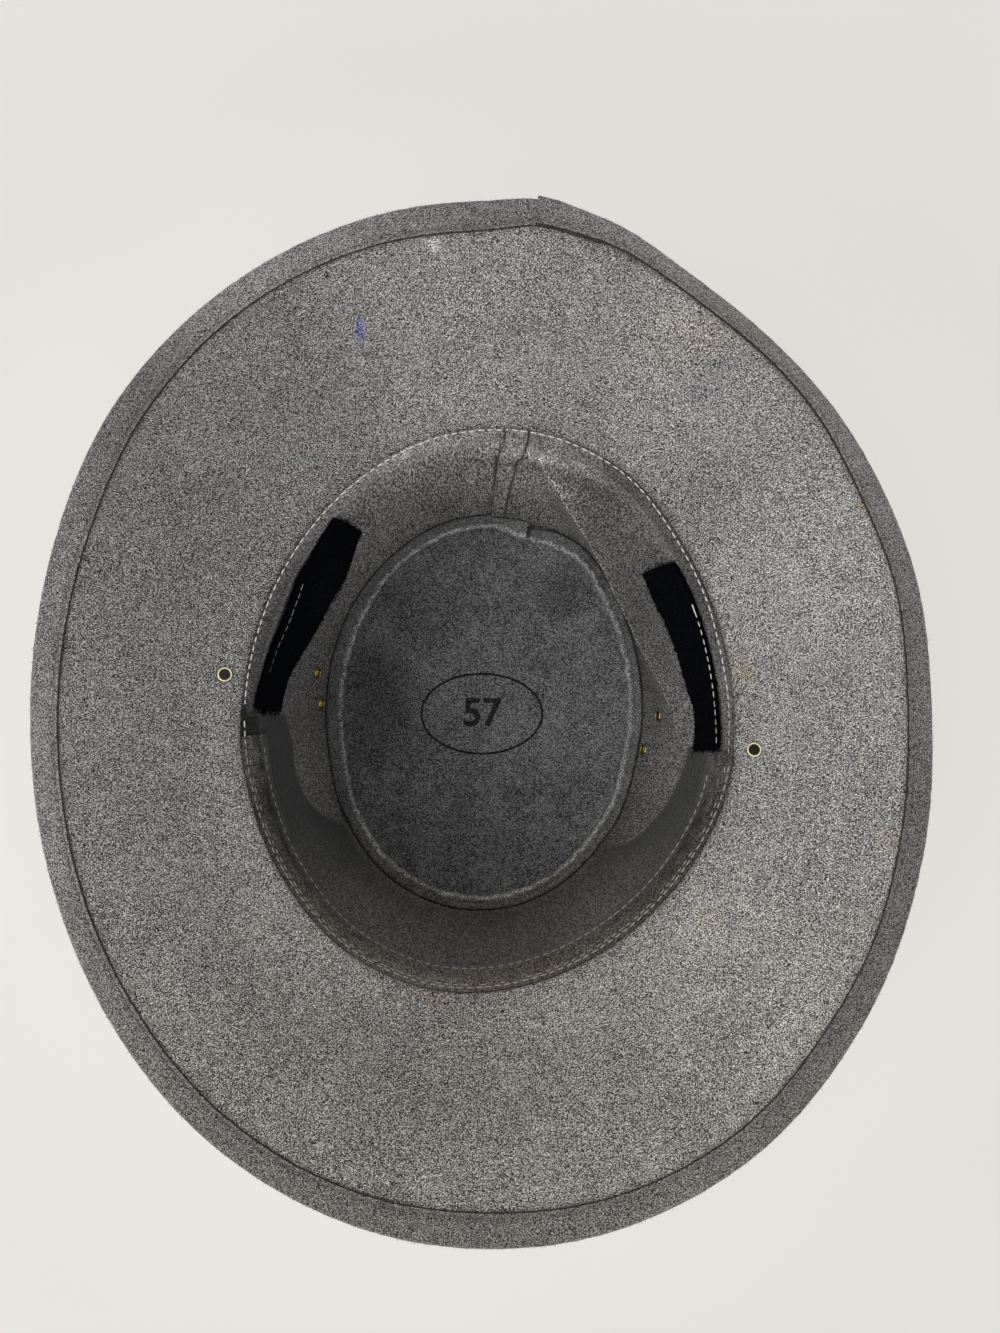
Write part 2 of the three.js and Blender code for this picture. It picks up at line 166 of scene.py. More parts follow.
# A material being made: place is in mm, x y z its parts.
class Paint:
    def __init__(self, name):
        self.material = bpy.data.materials.new(name)
        self.material.use_nodes = True
        self.tree = self.material.node_tree
        self.shader = self.tree.nodes["Principled BSDF"]
        metres = self.node("ShaderNodeTexCoord", "Object")
        self.place = self.node("ShaderNodeVectorMath", 0, {"operation": "SCALE"}, {0: metres, "Scale": 1000.0})
        parts = self.node("ShaderNodeSeparateXYZ", "X", sockets={0: self.place}).socket.node
        self.x, self.y, self.z = (Wire(self.tree, parts.outputs[name]) for name in ("X", "Y", "Z"))

    def node(self, kind, output, settings=None, sockets=None):
        made = self.tree.nodes.new(kind)
        for name, value in (settings or {}).items():
            setattr(made, name, value)
        for name, value in (sockets or {}).items():
            plug(self.tree, made.inputs[name], value)
        return Wire(self.tree, made.outputs[output])

    def attribute(self, name):
        return self.node("ShaderNodeAttribute", "Fac", {"attribute_name": name})

    def noise(self, size, detail=2.0, bend=0.0, place=None, roughness=0.5):
        return self.node("ShaderNodeTexNoise", 0, None, {
            "Vector": place or self.place, "Scale": 1.0 / size, "Detail": detail,
            "Roughness": roughness, "Distortion": bend})

    def stretched(self, scale):
        return self.node("ShaderNodeVectorMath", 0, {"operation": "MULTIPLY"}, {0: self.place, 1: scale})

    def ramp(self, value, low, high):
        return self.node("ShaderNodeMapRange", 0, {"interpolation_type": "SMOOTHSTEP"}, {
            "Value": value, "From Min": low, "From Max": high})

    def mixed(self, share, first, second):
        return self.node("ShaderNodeMix", 2, {"data_type": "RGBA"}, {0: share, 6: first, 7: second})

    def scaled(self, colour, factor):
        parts = colour if isinstance(colour, Wire) else colour[:3]
        return self.node("ShaderNodeVectorMath", 0, {"operation": "SCALE"}, {0: parts, "Scale": factor})

    # A patch with a soft uneven edge, round a point in plan.
    def patch(self, middle, size, rough=0.5, grain=5.0):
        across = (self.x - middle[0]) / size[0]
        along = (self.y - middle[1]) / size[1]
        away = (across * across + along * along) ** 0.5 + (self.noise(grain) - 0.5) * rough
        return self.ramp(away, 1.0, 0.25)

    def bump(self, height, depth, strength=1.0):
        normal = self.node("ShaderNodeBump", 0, None, {
            "Height": height, "Distance": depth * mm, "Strength": strength})
        plug(self.tree, self.shader.inputs["Normal"], normal)

    def set(self, name, value):
        plug(self.tree, self.shader.inputs[name], value)


def tone(red, green, blue):
    return (red, green, blue, 1.0)


def polar(angle, radius, height=0.0):
    turn = math.radians(angle)
    return Vector((radius * math.cos(turn), radius * math.sin(turn), height))


# Felt: light fibres strewn over dark ones in grains of (size in mm, contrast), worn and painted with light and
# shade where the piece says so. Rise draws the grains out upwards, the change of brightness for each mm along
# x and y is painted light and shade, one side lighter than the other as the light falls, and calm is the share
# of contrast left where the crown's wall turns flat at its top.
brimFelt = {"dark": (0.018, 0.0176, 0.0182), "light": (0.868, 0.849, 0.822), "middle": 0.48, "rise": 1.0,
            "grains": ((45.0, 0.16), (14.0, 0.22), (3.0, 0.28), (0.62, 1.45), (0.36, 4.8)), "nap": 0.2,
            "sheen": 0.2, "paintedLightSlope": (0.00105, 0.0003), "calm": 1.0}
# The crown's and the tip's felt are darker than the brim's: partly painted shade inside the crown's hollow,
# partly a darker tone.
crownFelt = {"dark": (0.012, 0.0118, 0.0115), "light": (0.62, 0.604, 0.58), "middle": 0.48, "rise": 0.22,
             "grains": ((18.0, 0.45), (3.0, 0.6), (0.75, 2.4), (0.45, 7.2)), "nap": 0.25, "sheen": 0.2,
             "paintedLightSlope": (0.0006, 0.007), "calm": 0.32}
tipFelt = {"dark": (0.02, 0.02, 0.0212), "light": (0.62, 0.62, 0.63), "middle": 0.44, "rise": 1.0,
           "grains": ((20.0, 0.35), (5.0, 0.38), (0.6, 1.1), (0.36, 3.9)), "nap": 0.2, "sheen": 0.2,
           "paintedLightSlope": (0.0055, 0.0016), "calm": 1.0}
feltLook = {"calmEnds": (94.0, 76.0), "power": 1.6, "darkest": 0.03, "patchTones": (0.07, 3.0), "bend": 0.2}


def feltPaint(name, look, stainsAndShades=()):
    paint = Paint(name)
    place = paint.stretched((1, 1, look["rise"]))
    share = 0.0
    for size, contrast in look["grains"]:
        share = share + contrast * (paint.noise(size, 2.0, feltLook["bend"], place) - 0.5)
    lively = look["calm"] + (1 - look["calm"]) * paint.ramp(paint.z, *feltLook["calmEnds"])
    share = (look["middle"] + share * lively).held() ** feltLook["power"]
    colour = paint.mixed(share, tone(*look["dark"]), tone(*look["light"]))
    # Patches of another tone: real stains and painted shade.
    for tonePatch in stainsAndShades:
        mask = tonePatch["mask"](paint) * tonePatch["strength"]
        dark, light = ([factor * part for part in tonePatch["colour"]] for factor in feltLook["patchTones"])
        colour = paint.mixed(mask.held(), colour, paint.mixed(share, tone(*dark), tone(*light)))
    # Painted light and shade: one side of the piece brighter than the other, times the piece's wear and
    # painted shade.
    shade = 1.0 + look["paintedLightSlope"][0] * paint.x + look["paintedLightSlope"][1] * paint.y
    colour = paint.scaled(colour, (shade * (1.0 + paint.attribute("wearAndShade"))).most(feltLook["darkest"]))
    paint.set("Base Color", colour)
    paint.set("Roughness", 0.95)
    paint.set("Specular IOR Level", 0.15)
    paint.set("Sheen Weight", look["sheen"])
    paint.set("Sheen Roughness", 0.6)
    paint.bump(share, look["nap"])
    return paint.material


def patchAt(angle, radius, size, colour, strength, rough=0.6, grain=5.0):
    return {"mask": lambda paint: paint.patch(polar(angle, radius), size, rough, grain),
            "colour": colour, "strength": strength}


brimStainsAndShade = (
    patchAt(108.9, 135.6, (2.2, 5.0), (0.13, 0.13, 0.42), 0.75, 0.9, 2.0),  # blue ink
    patchAt(97.0, 157.4, (3.4, 3.6), (0.56, 0.55, 0.54), 0.8, 1.1, 1.6),  # pale scuff
    # Painted shade of a soft fold in the brim: a darker, cool band.
    patchAt(56.0, 134.0, (17, 12), (0.20, 0.20, 0.215), 0.45, 0.7, 12.0),
    patchAt(258.7, 99.4, (5.5, 3.5), (0.34, 0.25, 0.17), 0.6),
    patchAt(233.3, 153.1, (3.0, 3.5), (0.33, 0.24, 0.17), 0.6),
    patchAt(60.5, 145.5, (24, 15), (0.30, 0.275, 0.235), 0.6, 0.7, 14.0),  # warm patch, partly wear and partly a painted highlight where the brim bends
    patchAt(28.2, 143.3, (3.0, 3.0), (0.34, 0.31, 0.18), 0.55),
    patchAt(7.5, 89.8, (6.0, 7.0), (0.30, 0.27, 0.17), 0.5),
    patchAt(125.9, 109.9, (5, 4), (0.30, 0.22, 0.21), 0.35),
    patchAt(-18.0, 140.0, (7, 8), (0.27, 0.23, 0.18), 0.4),
    patchAt(-43.0, 104.0, (8, 6), (0.27, 0.23, 0.18), 0.35),
    {"mask": lambda paint: paint.ramp(paint.y, -20.0, -150.0), "colour": (0.285, 0.27, 0.24), "strength": 0.6},
)
crownStains = (
    {"mask": lambda paint: paint.ramp(paint.y, 5.0, -80.0), "colour": (0.185, 0.168, 0.14), "strength": 0.75},
    {"mask": lambda paint: paint.patch((8, -88), (32, 14), 0.8, 16.0),
     "colour": (0.135, 0.105, 0.075), "strength": 0.5},
)
tipShadeAndStains = (
    # The first three are painted shade: dark patches on the tip at its left, under the dent and at the left
    # back. The last is a brownish tone at the front.
    patchAt(174.0, 46.0, (21, 38), (0.09, 0.09, 0.095), 0.8, 0.4, 12.0),
    patchAt(57.0, 63.0, (17, 19), (0.11, 0.11, 0.115), 0.8, 0.4, 12.0),
    patchAt(126.0, 54.0, (24, 20), (0.13, 0.13, 0.135), 0.6, 0.4, 12.0),
    {"mask": lambda paint: paint.ramp(paint.y, -35.0, -75.0) * paint.ramp(paint.z, 3.0, 4.5),
     "colour": (0.215, 0.203, 0.175), "strength": 0.7},
)


# Thread: clean at the back and worn towards the front, between the two ends in mm.
def threadPaint(name, clean, worn, ends=(6.0, -12.0)):
    paint = Paint(name)
    dirt = paint.ramp(paint.y - 0.077 * paint.x, *ends)
    twist = paint.noise(0.35, 1.0)
    shade = 1.0 + 0.003 * paint.x * dirt
    colour = paint.mixed(dirt, tone(*clean), tone(*worn))
    paint.set("Base Color", paint.scaled(colour, (0.7 + 0.6 * twist) * shade))
    paint.set("Roughness", 0.7)
    paint.bump(twist, 0.08)
    return paint.material


def pilePaint():
    paint = Paint("black_pile")
    loops = paint.noise(0.55, 2.0)
    dark, light = tone(0.0006, 0.0008, 0.0015), tone(0.0055, 0.007, 0.012)
    paint.set("Base Color", paint.mixed(paint.ramp(loops, 0.4, 0.8), dark, light))
    paint.set("Roughness", 0.95)
    paint.set("Specular IOR Level", 0.05)
    paint.bump(loops, 0.4)
    return paint.material


def brassPaint(name, clean, tarnished):
    paint = Paint(name)
    tarnish = paint.ramp(paint.noise(0.9, 3.0), 0.5, 0.78)
    colour = paint.mixed(tarnish, tone(*clean), tone(*tarnished))
    paint.set("Base Color", paint.scaled(colour, 1.0 + paint.attribute("wearAndShade")))
    paint.set("Metallic", 1.0)
    paint.set("Roughness", 0.2 + 0.25 * tarnish)
    paint.bump(paint.noise(0.4, 2.0), 0.01)
    return paint.material


def inkPaint():
    paint = Paint("ink")
    gaps = paint.noise(0.7, 2.0)
    paint.set("Base Color", tone(0.008, 0.008, 0.009))
    paint.set("Roughness", 0.8)
    paint.set("Alpha", 0.95 - 0.6 * paint.ramp(gaps, 0.5, 0.75))
    return paint.material


def fibrePaint():
    paint = Paint("pale_fibre")
    paint.set("Base Color", paint.scaled(tone(0.36, 0.355, 0.345), 0.6 + 0.8 * paint.noise(6.0)))
    paint.set("Roughness", 0.8)
    return paint.material


def floorPaint():
    paint = Paint("pale_floor")
    cloud = paint.noise(90.0, 2.0)
    away = (paint.x * paint.x + paint.y * paint.y) ** 0.5
    # Painted shadow: the floor's colour and glow are darkened under the hat, and its glow is raised near the
    # hat as painted light.
    beyondPaintedShadow = paint.ramp(away, *light["shaded"])
    near = 1.0 + light["nearGlow"] * paint.ramp(away, *light["glowEnds"])
    shade = light["shadedTone"] + (1 - light["shadedTone"]) * beyondPaintedShadow
    paint.set("Base Color", paint.scaled(tone(*light["floorTone"]), (0.985 + 0.03 * cloud) * shade))
    paint.set("Emission Color", paint.scaled(tone(*light["floorGlow"]), beyondPaintedShadow * near))
    paint.set("Emission Strength", 1.0)
    paint.set("Roughness", 0.6)
    paint.set("Specular IOR Level", 0.25)
    return paint.material


paints = {
    "brim": feltPaint("brim_felt", brimFelt, brimStainsAndShade),
    "crown": feltPaint("crown_felt", crownFelt, crownStains),
    "tip": feltPaint("tip_felt", tipFelt, tipShadeAndStains),
    "thread": threadPaint("thread", (0.84, 0.825, 0.78), (0.35, 0.325, 0.28)),
    "stripThread": threadPaint("strip_thread", (0.34, 0.335, 0.32), (0.05, 0.05, 0.055), (42.0, 8.0)),
    "greyThread": threadPaint("grey_thread", (0.2, 0.195, 0.185), (0.2, 0.19, 0.175)),
    "darkThread": threadPaint("dark_thread", (0.025, 0.025, 0.026), (0.025, 0.025, 0.026)),
    "pile": pilePaint(),
    "brass": brassPaint("brass", (1.0, 0.93, 0.62), (0.8, 0.66, 0.34)),
    # The crown's eyelets use a darker copy of the brass.
    "darkerBrass": brassPaint("darker_brass", (0.72, 0.53, 0.17), (0.34, 0.22, 0.07)),
    "ink": inkPaint(),
    "paleFibre": fibrePaint(),
    "floor": floorPaint(),
}
print("stage: materials")


# The hat's lines in mm, as in the frame. Angles run from +X, the wearer's right, towards +Y, the back.
hat = {"joinHeight": 95, "felt": 1.8, "tipTop": 2.0, "footHeight": 2.3, "wallInset": 3.6, "brimInset": 0.6,
       "edgeRoom": 1.3, "dentFoot": 7, "dentTop": 93, "edgeBulge": 2}

# One row for each 20 degrees: tip, join, edge, lift, drop, bias.
columns = ("tip", "join", "edge", "lift", "drop", "bias")
sections = [
    (69.2, 84.0, 151.5, 12, 3.7, 1.15), (71.2, 84.2, 153.9, 13, 4.5, 1.25),
    (76.2, 87.6, 156.6, 17, 6.3, 1.45),
    (84.4, 94.1, 160.8, 20, 6.5, 1.6), (86.2, 96.7, 171.3, 17, 3.0, 1.15), (85.4, 95.6, 172.4, 16, 3.0, 1),
    (80.0, 90.6, 168.1, 16, 3.5, 1), (74.9, 86.1, 162.0, 15, 2.5, 0.95), (71.1, 83.5, 154.5, 15, 2.5, 0.95),
    (69.6, 83.5, 151.5, 15, 3.2, 0.95), (71.6, 85.3, 153.9, 15.5, 3.5, 0.95),
    (78.1, 89.4, 159.2, 17, 2.2, 0.95),
    (84.3, 94.2, 165.9, 20, 2.0, 1), (87.6, 96.0, 169.8, 23, 1.0, 1), (86.6, 93.4, 170.3, 24, 0.5, 1),
    (81.4, 89.7, 168.2, 21, 1.8, 1), (75.2, 87.2, 161.4, 17, 2.4, 0.95), (70.0, 85.9, 154.9, 14, 3.2, 1),
]

# The dent's fold: angle, height and depth.
dentFold = ((-60, 50, 0), (-12, 56, 0), (5, 44, 3.6), (20, 24, 4.4), (38, 29, 8.2), (54, 36, 8.4),
            (62, 44, 6.4), (68.6, 57, 4.2), (72.2, 72, 2.6), (76, 84, 1.4), (79, 89, 0), (150, 50, 0))
# Angle and height of the sweat panel's lower edge.
panelEdge = ((183, 66), (190, 60), (198, 60), (205, 55), (212, 38), (219.5, 5), (310, 5), (317, 36),
             (323, 50), (331, 60), (339, 65), (349, 69))
# Fastener strips: angle, inset of the free edge, height of the sewn edge, how far that one stands out, and
# the skew in degrees from one edge to the other.
leftStrip = ((127.5, 7.0, 95.5, 1.5, -3.6), (134, 10.3, 93.5, 0.8, -2), (140, 12.1, 92.5, 0.2, -1.5),
             (145, 12.3, 93.2, 0.2, -1.2), (150, 10.8, 91.5, -0.3, -1), (157, 9.2, 90.5, -0.45, -0.5),
             (164, 7.6, 91.5, 0.25, 0), (172, 5.4, 93.8, 0.75, 0.5), (180.8, 5.4, 97, 1.6, 1))
rightStrip = ((-11, 5.0, 97, 1.5, -1.4), (-2, 4.2, 96, 1.2, -0.5), (7.5, 6.6, 95, 1.1, 0),
              (15, 7.5, 94.7, 1.1, 0), (24.5, 8.9, 94.7, 1.2, 0.5), (32, 9.9, 94.5, 1.4, 1.5),
              (39.3, 8.8, 93.5, 1.5, 2.9))
# By angle: how much lighter (+) or darker (-) the brim and its tape are painted, as painted light and shade
# round the hat with the tape's own darker tone, and the tape's width seen from above.
around = ((0, 0, -0.42, 10.3), (15, 0.04, -0.43, 10.1), (30, 0.05, -0.28, 10.9), (45, -0.11, -0.25, 9.5),
          (60, 0.02, -0.25, 9.8), (75, -0.08, -0.2, 9.4), (90, 0.04, -0.37, 12.2), (105, -0.04, -0.16, 12.0),
          (120, -0.21, -0.06, 11.6), (135, -0.16, -0.39, 11.8), (150, -0.17, -0.29, 12.0),
          (165, -0.1, -0.17, 11.2), (180, 0.01, -0.14, 10.8), (195, 0.03, -0.02, 10.7),
          (210, 0.13, -0.16, 10.4), (225, 0.18, -0.2, 10.4), (240, 0.09, -0.33, 10.6), (255, 0, -0.34, 11.0),
          (270, 0, -0.39, 11.6), (285, 0.04, -0.32, 10.6), (300, 0.04, -0.4, 10.6), (315, 0.2, -0.44, 11.1),
          (330, 0.06, -0.5, 10.2), (345, 0.06, -0.5, 10.5), (360, 0, -0.42, 10.3))


def lerp(start, end, share):
    return start + (end - start) * share


def clamp(value, low=0.0, high=1.0):
    return max(low, min(high, value))


def smooth(value, low, high):
    share = clamp((value - low) / (high - low))
    return share * share * (3 - 2 * share)


# A bump of height 1 round a middle.
def hump(value, middle, width):
    return math.exp(-((value - middle) / width) ** 2)


def waver(x, y, z):
    return noise.noise(Vector((x, y, z)))


def cosine(angle):
    return math.cos(math.radians(angle))


def sine(angle):
    return math.sin(math.radians(angle))


# An angle from -180 to 180.
def signed(angle):
    angle %= 360
    return angle - 360 if angle > 180 else angle


def throughFour(before, start, end, after, share):
    startSlope = (end - before) / 2
    endSlope = (after - start) / 2
    square = share * share
    cube = square * share
    return (start * (2 * cube - 3 * square + 1) + startSlope * (cube - 2 * square + share)
            + end * (3 * square - 2 * cube) + endSlope * (cube - square))


@lru_cache(maxsize=None)
def sectionOf(angle):
    place = (angle % 360) / 20
    first = int(place) % len(sections)
    near = [sections[(first + step) % len(sections)] for step in (-1, 0, 1, 2)]
    values = {name: throughFour(*(row[column] for row in near), place - int(place))
              for column, name in enumerate(columns)}
    values["edge"] += hat["edgeBulge"] * hump(angle % 360, 84.5, 4)
    return values


def sectionAt(angle):
    return sectionOf(round(angle % 360, 4))


@lru_cache(maxsize=None)
def fromTable(table, column, angle):
    if angle <= table[0][0]:
        return table[0][column]
    if angle >= table[-1][0]:
        return table[-1][column]
    upper = next(index for index, row in enumerate(table) if row[0] >= angle)
    rows = [table[clamp(index, 0, len(table) - 1)] for index in (upper - 2, upper - 1, upper, upper + 1)]
    share = (angle - rows[1][0]) / (rows[2][0] - rows[1][0])
    return throughFour(*(row[column] for row in rows), share)


def spaced(start, end, step):
    count = max(1, round((end - start) / step))
    return [lerp(start, end, index / count) for index in range(count + 1)]


# The brim's middle surface, its slow waves, and its frame: point, normal and outward direction.
brimShape = {"soften": 0.8, "waves": 0.55, "waveSize": 42, "ease": 0.6}


def brimHeight(angle, radius):
    section = sectionAt(angle)
    hemRun = fromTable(around, 3, angle % 360) - hat["edgeRoom"]
    start = section["join"] - hat["brimInset"]
    end = section["edge"] - hat["edgeRoom"] - hemRun
    share = max((radius - start) / (end - start), 0)
    ease = brimShape["ease"]
    place = min(share, 1) ** section["bias"]
    rise = place - ease * math.sin(2 * math.pi * place) / (2 * math.pi)
    rise = section["lift"] * (rise + max(share - 1, 0) * (1 - ease) * section["bias"])
    hem = section["lift"] - section["drop"] * (radius - end) / hemRun
    height = (rise + hem - math.hypot(rise - hem, brimShape["soften"])) / 2
    spot = polar(angle, radius, 0) / brimShape["waveSize"]
    waves = brimShape["waves"] * noise.noise(spot + Vector((3.7, 1.2, 0.4))) * smooth(share, 0.03, 0.3)
    return hat["joinHeight"] - hat["felt"] / 2 + height + waves


def brimFrame(angle, radius):
    point = polar(angle, radius, brimHeight(angle, radius))
    outward = (polar(angle, radius + 0.5, brimHeight(angle, radius + 0.5))
               - polar(angle, radius - 0.5, brimHeight(angle, radius - 0.5))).normalized()
    sideways = (polar(angle + 0.3, radius, brimHeight(angle + 0.3, radius))
                - polar(angle - 0.3, radius, brimHeight(angle - 0.3, radius))).normalized()
    return point, outward.cross(sideways).normalized(), outward


# The crown wall: its middle line runs from foot (0) up to the bend (1), round the bend (2) and out along the
# flange (3).
wallShape = {"bow": 0.5, "bend": 1.9, "rumple": 0.4, "dentSoft": 0.015, "shoulder": 2.2, "shoulderFoot": 30,
             "shoulderTop": 94, "shoulderSoft": 0.06}
# By angle: how far the flange reaches past the join, and how far in from its edge the stitches run.
flangeShape = ((0, 0.9, 1.7), (8, 0.7, 1.8), (16, 0.8, 1.8), (24, 0.9, 1.4), (34, 0.8, 1.2), (44, 0.8, 1.1),
               (60, 0.7, 0.6), (175, 0.7, 0.6), (188, 1.6, 1.6), (345, 1.6, 1.6), (352, 1.0, 1.7),
               (360, 0.9, 1.7))
# The crease under the join at the back: angle, height and share of its full depth.
shoulderFold = ((56, 90.5, 0), (64, 90.5, 0.5), (70, 90.5, 0.9), (77, 91, 1), (83.5, 90, 0.8),
                (87.5, 85, 0.5), (93, 81.5, 0.5), (98, 83, 0.2), (104, 85, 0))


# How deep a fold is at a height, from 0 at its foot and top to 1 at its crease.
def foldShare(height, foot, crease, top, soft):
    below = (height - foot) / (crease - foot)
    above = (top - height) / (top - crease)
    return clamp((below + above - math.hypot(below - above, soft)) / 2)


def foldDepth(angle, height):
    look = wallShape
    depth = 0
    deepest = fromTable(dentFold, 2, signed(angle))
    if deepest > 0:
        crease = fromTable(dentFold, 1, signed(angle))
        depth = deepest * foldShare(height, hat["dentFoot"], crease, hat["dentTop"], look["dentSoft"])
    shoulder = fromTable(shoulderFold, 2, signed(angle))
    if shoulder > 0:
        crease = fromTable(shoulderFold, 1, signed(angle))
        share = foldShare(height, look["shoulderFoot"], crease, look["shoulderTop"], look["shoulderSoft"])
        depth += look["shoulder"] * shoulder * share
    return depth


def wallRadius(angle, height):
    section = sectionAt(angle)
    foot, top = hat["footHeight"], hat["joinHeight"] - hat["felt"] / 2
    rise = clamp((height - foot) / (top - foot))
    share = rise + wallShape["bow"] * math.sin(2 * math.pi * rise) / (2 * math.pi)
    spot = polar(angle, 80, height * 0.7) / 24
    rumple = wallShape["rumple"] * noise.noise(spot) * math.sin(math.pi * rise)
    return lerp(section["tip"], section["join"] - hat["wallInset"], share) - foldDepth(angle, height) + rumple


def wallLine(angle, level):
    join = sectionAt(angle)["join"]
    half = hat["felt"] / 2
    top = brimHeight(angle, join)
    bend = wallShape["bend"]
    if level <= 1:
        crease = clamp(fromTable(dentFold, 1, signed(angle)), hat["footHeight"] + 8, top - 8)
        share = 1 - abs(2 * level - 1) ** 1.6
        end = hat["footHeight"] if level < 0.5 else top
        height = lerp(end, crease, share)
        return wallRadius(angle, height) + half, height
    if level <= 2:
        turn = math.radians(90 * (level - 1))
        middle = join - hat["wallInset"] + half + bend
        return middle - bend * math.cos(turn), top + bend * math.sin(turn)
    start = join - hat["wallInset"] + half + bend
    radius = lerp(start, join + fromTable(flangeShape, 1, angle % 360), level - 2)
    return radius, brimHeight(angle, radius) + bend


def wallPlace(angle, level, inward=0.0):
    radius, height = wallLine(angle, level)
    if inward:
        near, low = wallLine(angle, max(level - 0.01, 0))
        far, high = wallLine(angle, min(level + 0.01, 3))
        length = math.hypot(far - near, high - low)
        radius -= inward * (high - low) / length
        height += inward * (far - near) / length
    return polar(angle, radius, height)


# A sheet: a grid whose points go where place says, in mm, with a change of brightness that holds both wear
# and painted light and shade, and its lay as a UV map.
def clothMesh(alongs, acrosses, place, wearAt=None, isRing=False):
    mesh = bmesh.new()
    bmesh.ops.create_grid(mesh, x_segments=len(alongs) - 1, y_segments=len(acrosses) - 1, size=0.5)
    wearAndShade = mesh.verts.layers.float.new("wearAndShade")
    lay = mesh.loops.layers.uv.new("lay")
    lowX = min(vertex.co.x for vertex in mesh.verts)
    lowY = min(vertex.co.y for vertex in mesh.verts)

    def ordinates(vertex):
        column = round((vertex.co.x - lowX) / (-2 * lowX) * (len(alongs) - 1))
        row = round((vertex.co.y - lowY) / (-2 * lowY) * (len(acrosses) - 1))
        return alongs[column], acrosses[row]

    for face in mesh.faces:
        face.smooth = True
        for loop in face.loops:
            loop[lay].uv = ordinates(loop.vert)
    for vertex in mesh.verts:
        along, across = ordinates(vertex)
        if wearAt:
            vertex[wearAndShade] = wearAt(along, across)
        vertex.co = place(along, across) * mm
    if isRing:
        bmesh.ops.remove_doubles(mesh, verts=mesh.verts, dist=1e-6)
    bmesh.ops.recalc_face_normals(mesh, faces=mesh.faces)
    return mesh


# A round hole through a sheet, its edge trued to a circle.
def punch(mesh, middle, axis, radius):
    middle = Vector(middle) * mm
    axis = Vector(axis).normalized()
    reach = radius * mm

    def offset(point):
        away = point - middle
        return away - axis * away.dot(axis)

    def isNear(point, distance):
        return (point - middle).length < 3 * distance and offset(point).length < distance

    near = [face for face in mesh.faces if isNear(face.calc_center_median(), 2.2 * reach)]
    edges = list({edge for face in near for edge in face.edges})
    bmesh.ops.subdivide_edges(mesh, edges=edges, cuts=3, use_grid_fill=True)
    inside = [face for face in mesh.faces if isNear(face.calc_center_median(), reach)]
    bmesh.ops.delete(mesh, geom=inside, context="FACES")
    for edge in mesh.edges:
        if edge.is_boundary:
            for vertex in edge.verts:
                if isNear(vertex.co, 1.8 * reach):
                    away = offset(vertex.co)
                    vertex.co += away.normalized() * (reach - away.length)
    bmesh.ops.triangulate(mesh, faces=[face for face in mesh.faces if len(face.verts) > 4])


def madeObject(name, mesh, material):
    data = bpy.data.meshes.new(name)
    mesh.to_mesh(data)
    mesh.free()
    piece = bpy.data.objects.new(name, data)
    scene.collection.objects.link(piece)
    data.materials.append(material)
    return piece


def thicken(piece, thickness, edge=0.3):
    solid = piece.modifiers.new("thickness", "SOLIDIFY")
    solid.thickness = thickness * mm
    solid.offset = 0
    solid.thickness_clamp = 0
    bevel = piece.modifiers.new("edge", "BEVEL")
    bevel.width = edge * mm
    bevel.segments = 2
    bevel.limit_method = "ANGLE"
    bevel.angle_limit = math.radians(50)


def mount(piece, slot, *nodes):
    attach(piece, "root")
    if nodes:
        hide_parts(*nodes)
    return piece


# Eyelets: where they sit and their profile, radius and height from the sheet's middle.
eyeletLook = {"steps": 40, "holeInFelt": 2.45, "hole": 1.85, "rim": 2.58, "proud": 0.2, "tilt": 0.12}
eyeletProfile = [(1.85, 0.7), (1.86, 1.24), (1.94, 1.46), (2.10, 1.58), (2.28, 1.56), (2.46, 1.42),
                 (2.60, 1.2), (2.72, 1.02), (2.15, 0.97), (2.15, -0.97), (2.74, -1.02), (2.74, -1.14),
                 (2.58, -1.32), (2.34, -1.42), (2.08, -1.38), (1.9, -1.2), (1.85, -0.8)]
crownEyelets = {"crown_eyelet_left_back": (167.8, 19), "crown_eyelet_left_front": (177.9, 9.5),
                "crown_eyelet_right_back": (-2.1, 26), "crown_eyelet_right_front": (-14, 9)}
brimEyelets = {"brim_eyelet_left": (173.1, 91.2), "brim_eyelet_right": (-9.2, 93.4)}


def crownSeat(angle, height):
    half = hat["felt"] / 2 - eyeletLook["proud"]
    point = polar(angle, wallRadius(angle, height) + half, height)
    low, high = (polar(angle, wallRadius(angle, level), level) for level in (height - 3, height + 3))
    sideways = polar(angle + 1, 80) - polar(angle - 1, 80)
    normal = (high - low).cross(sideways).normalized()
    return point, (normal + Vector((0, 0, eyeletLook["tilt"]))).normalized()


def brimSeat(angle, radius):
    point, normal, _ = brimFrame(angle, radius)
    return point, normal


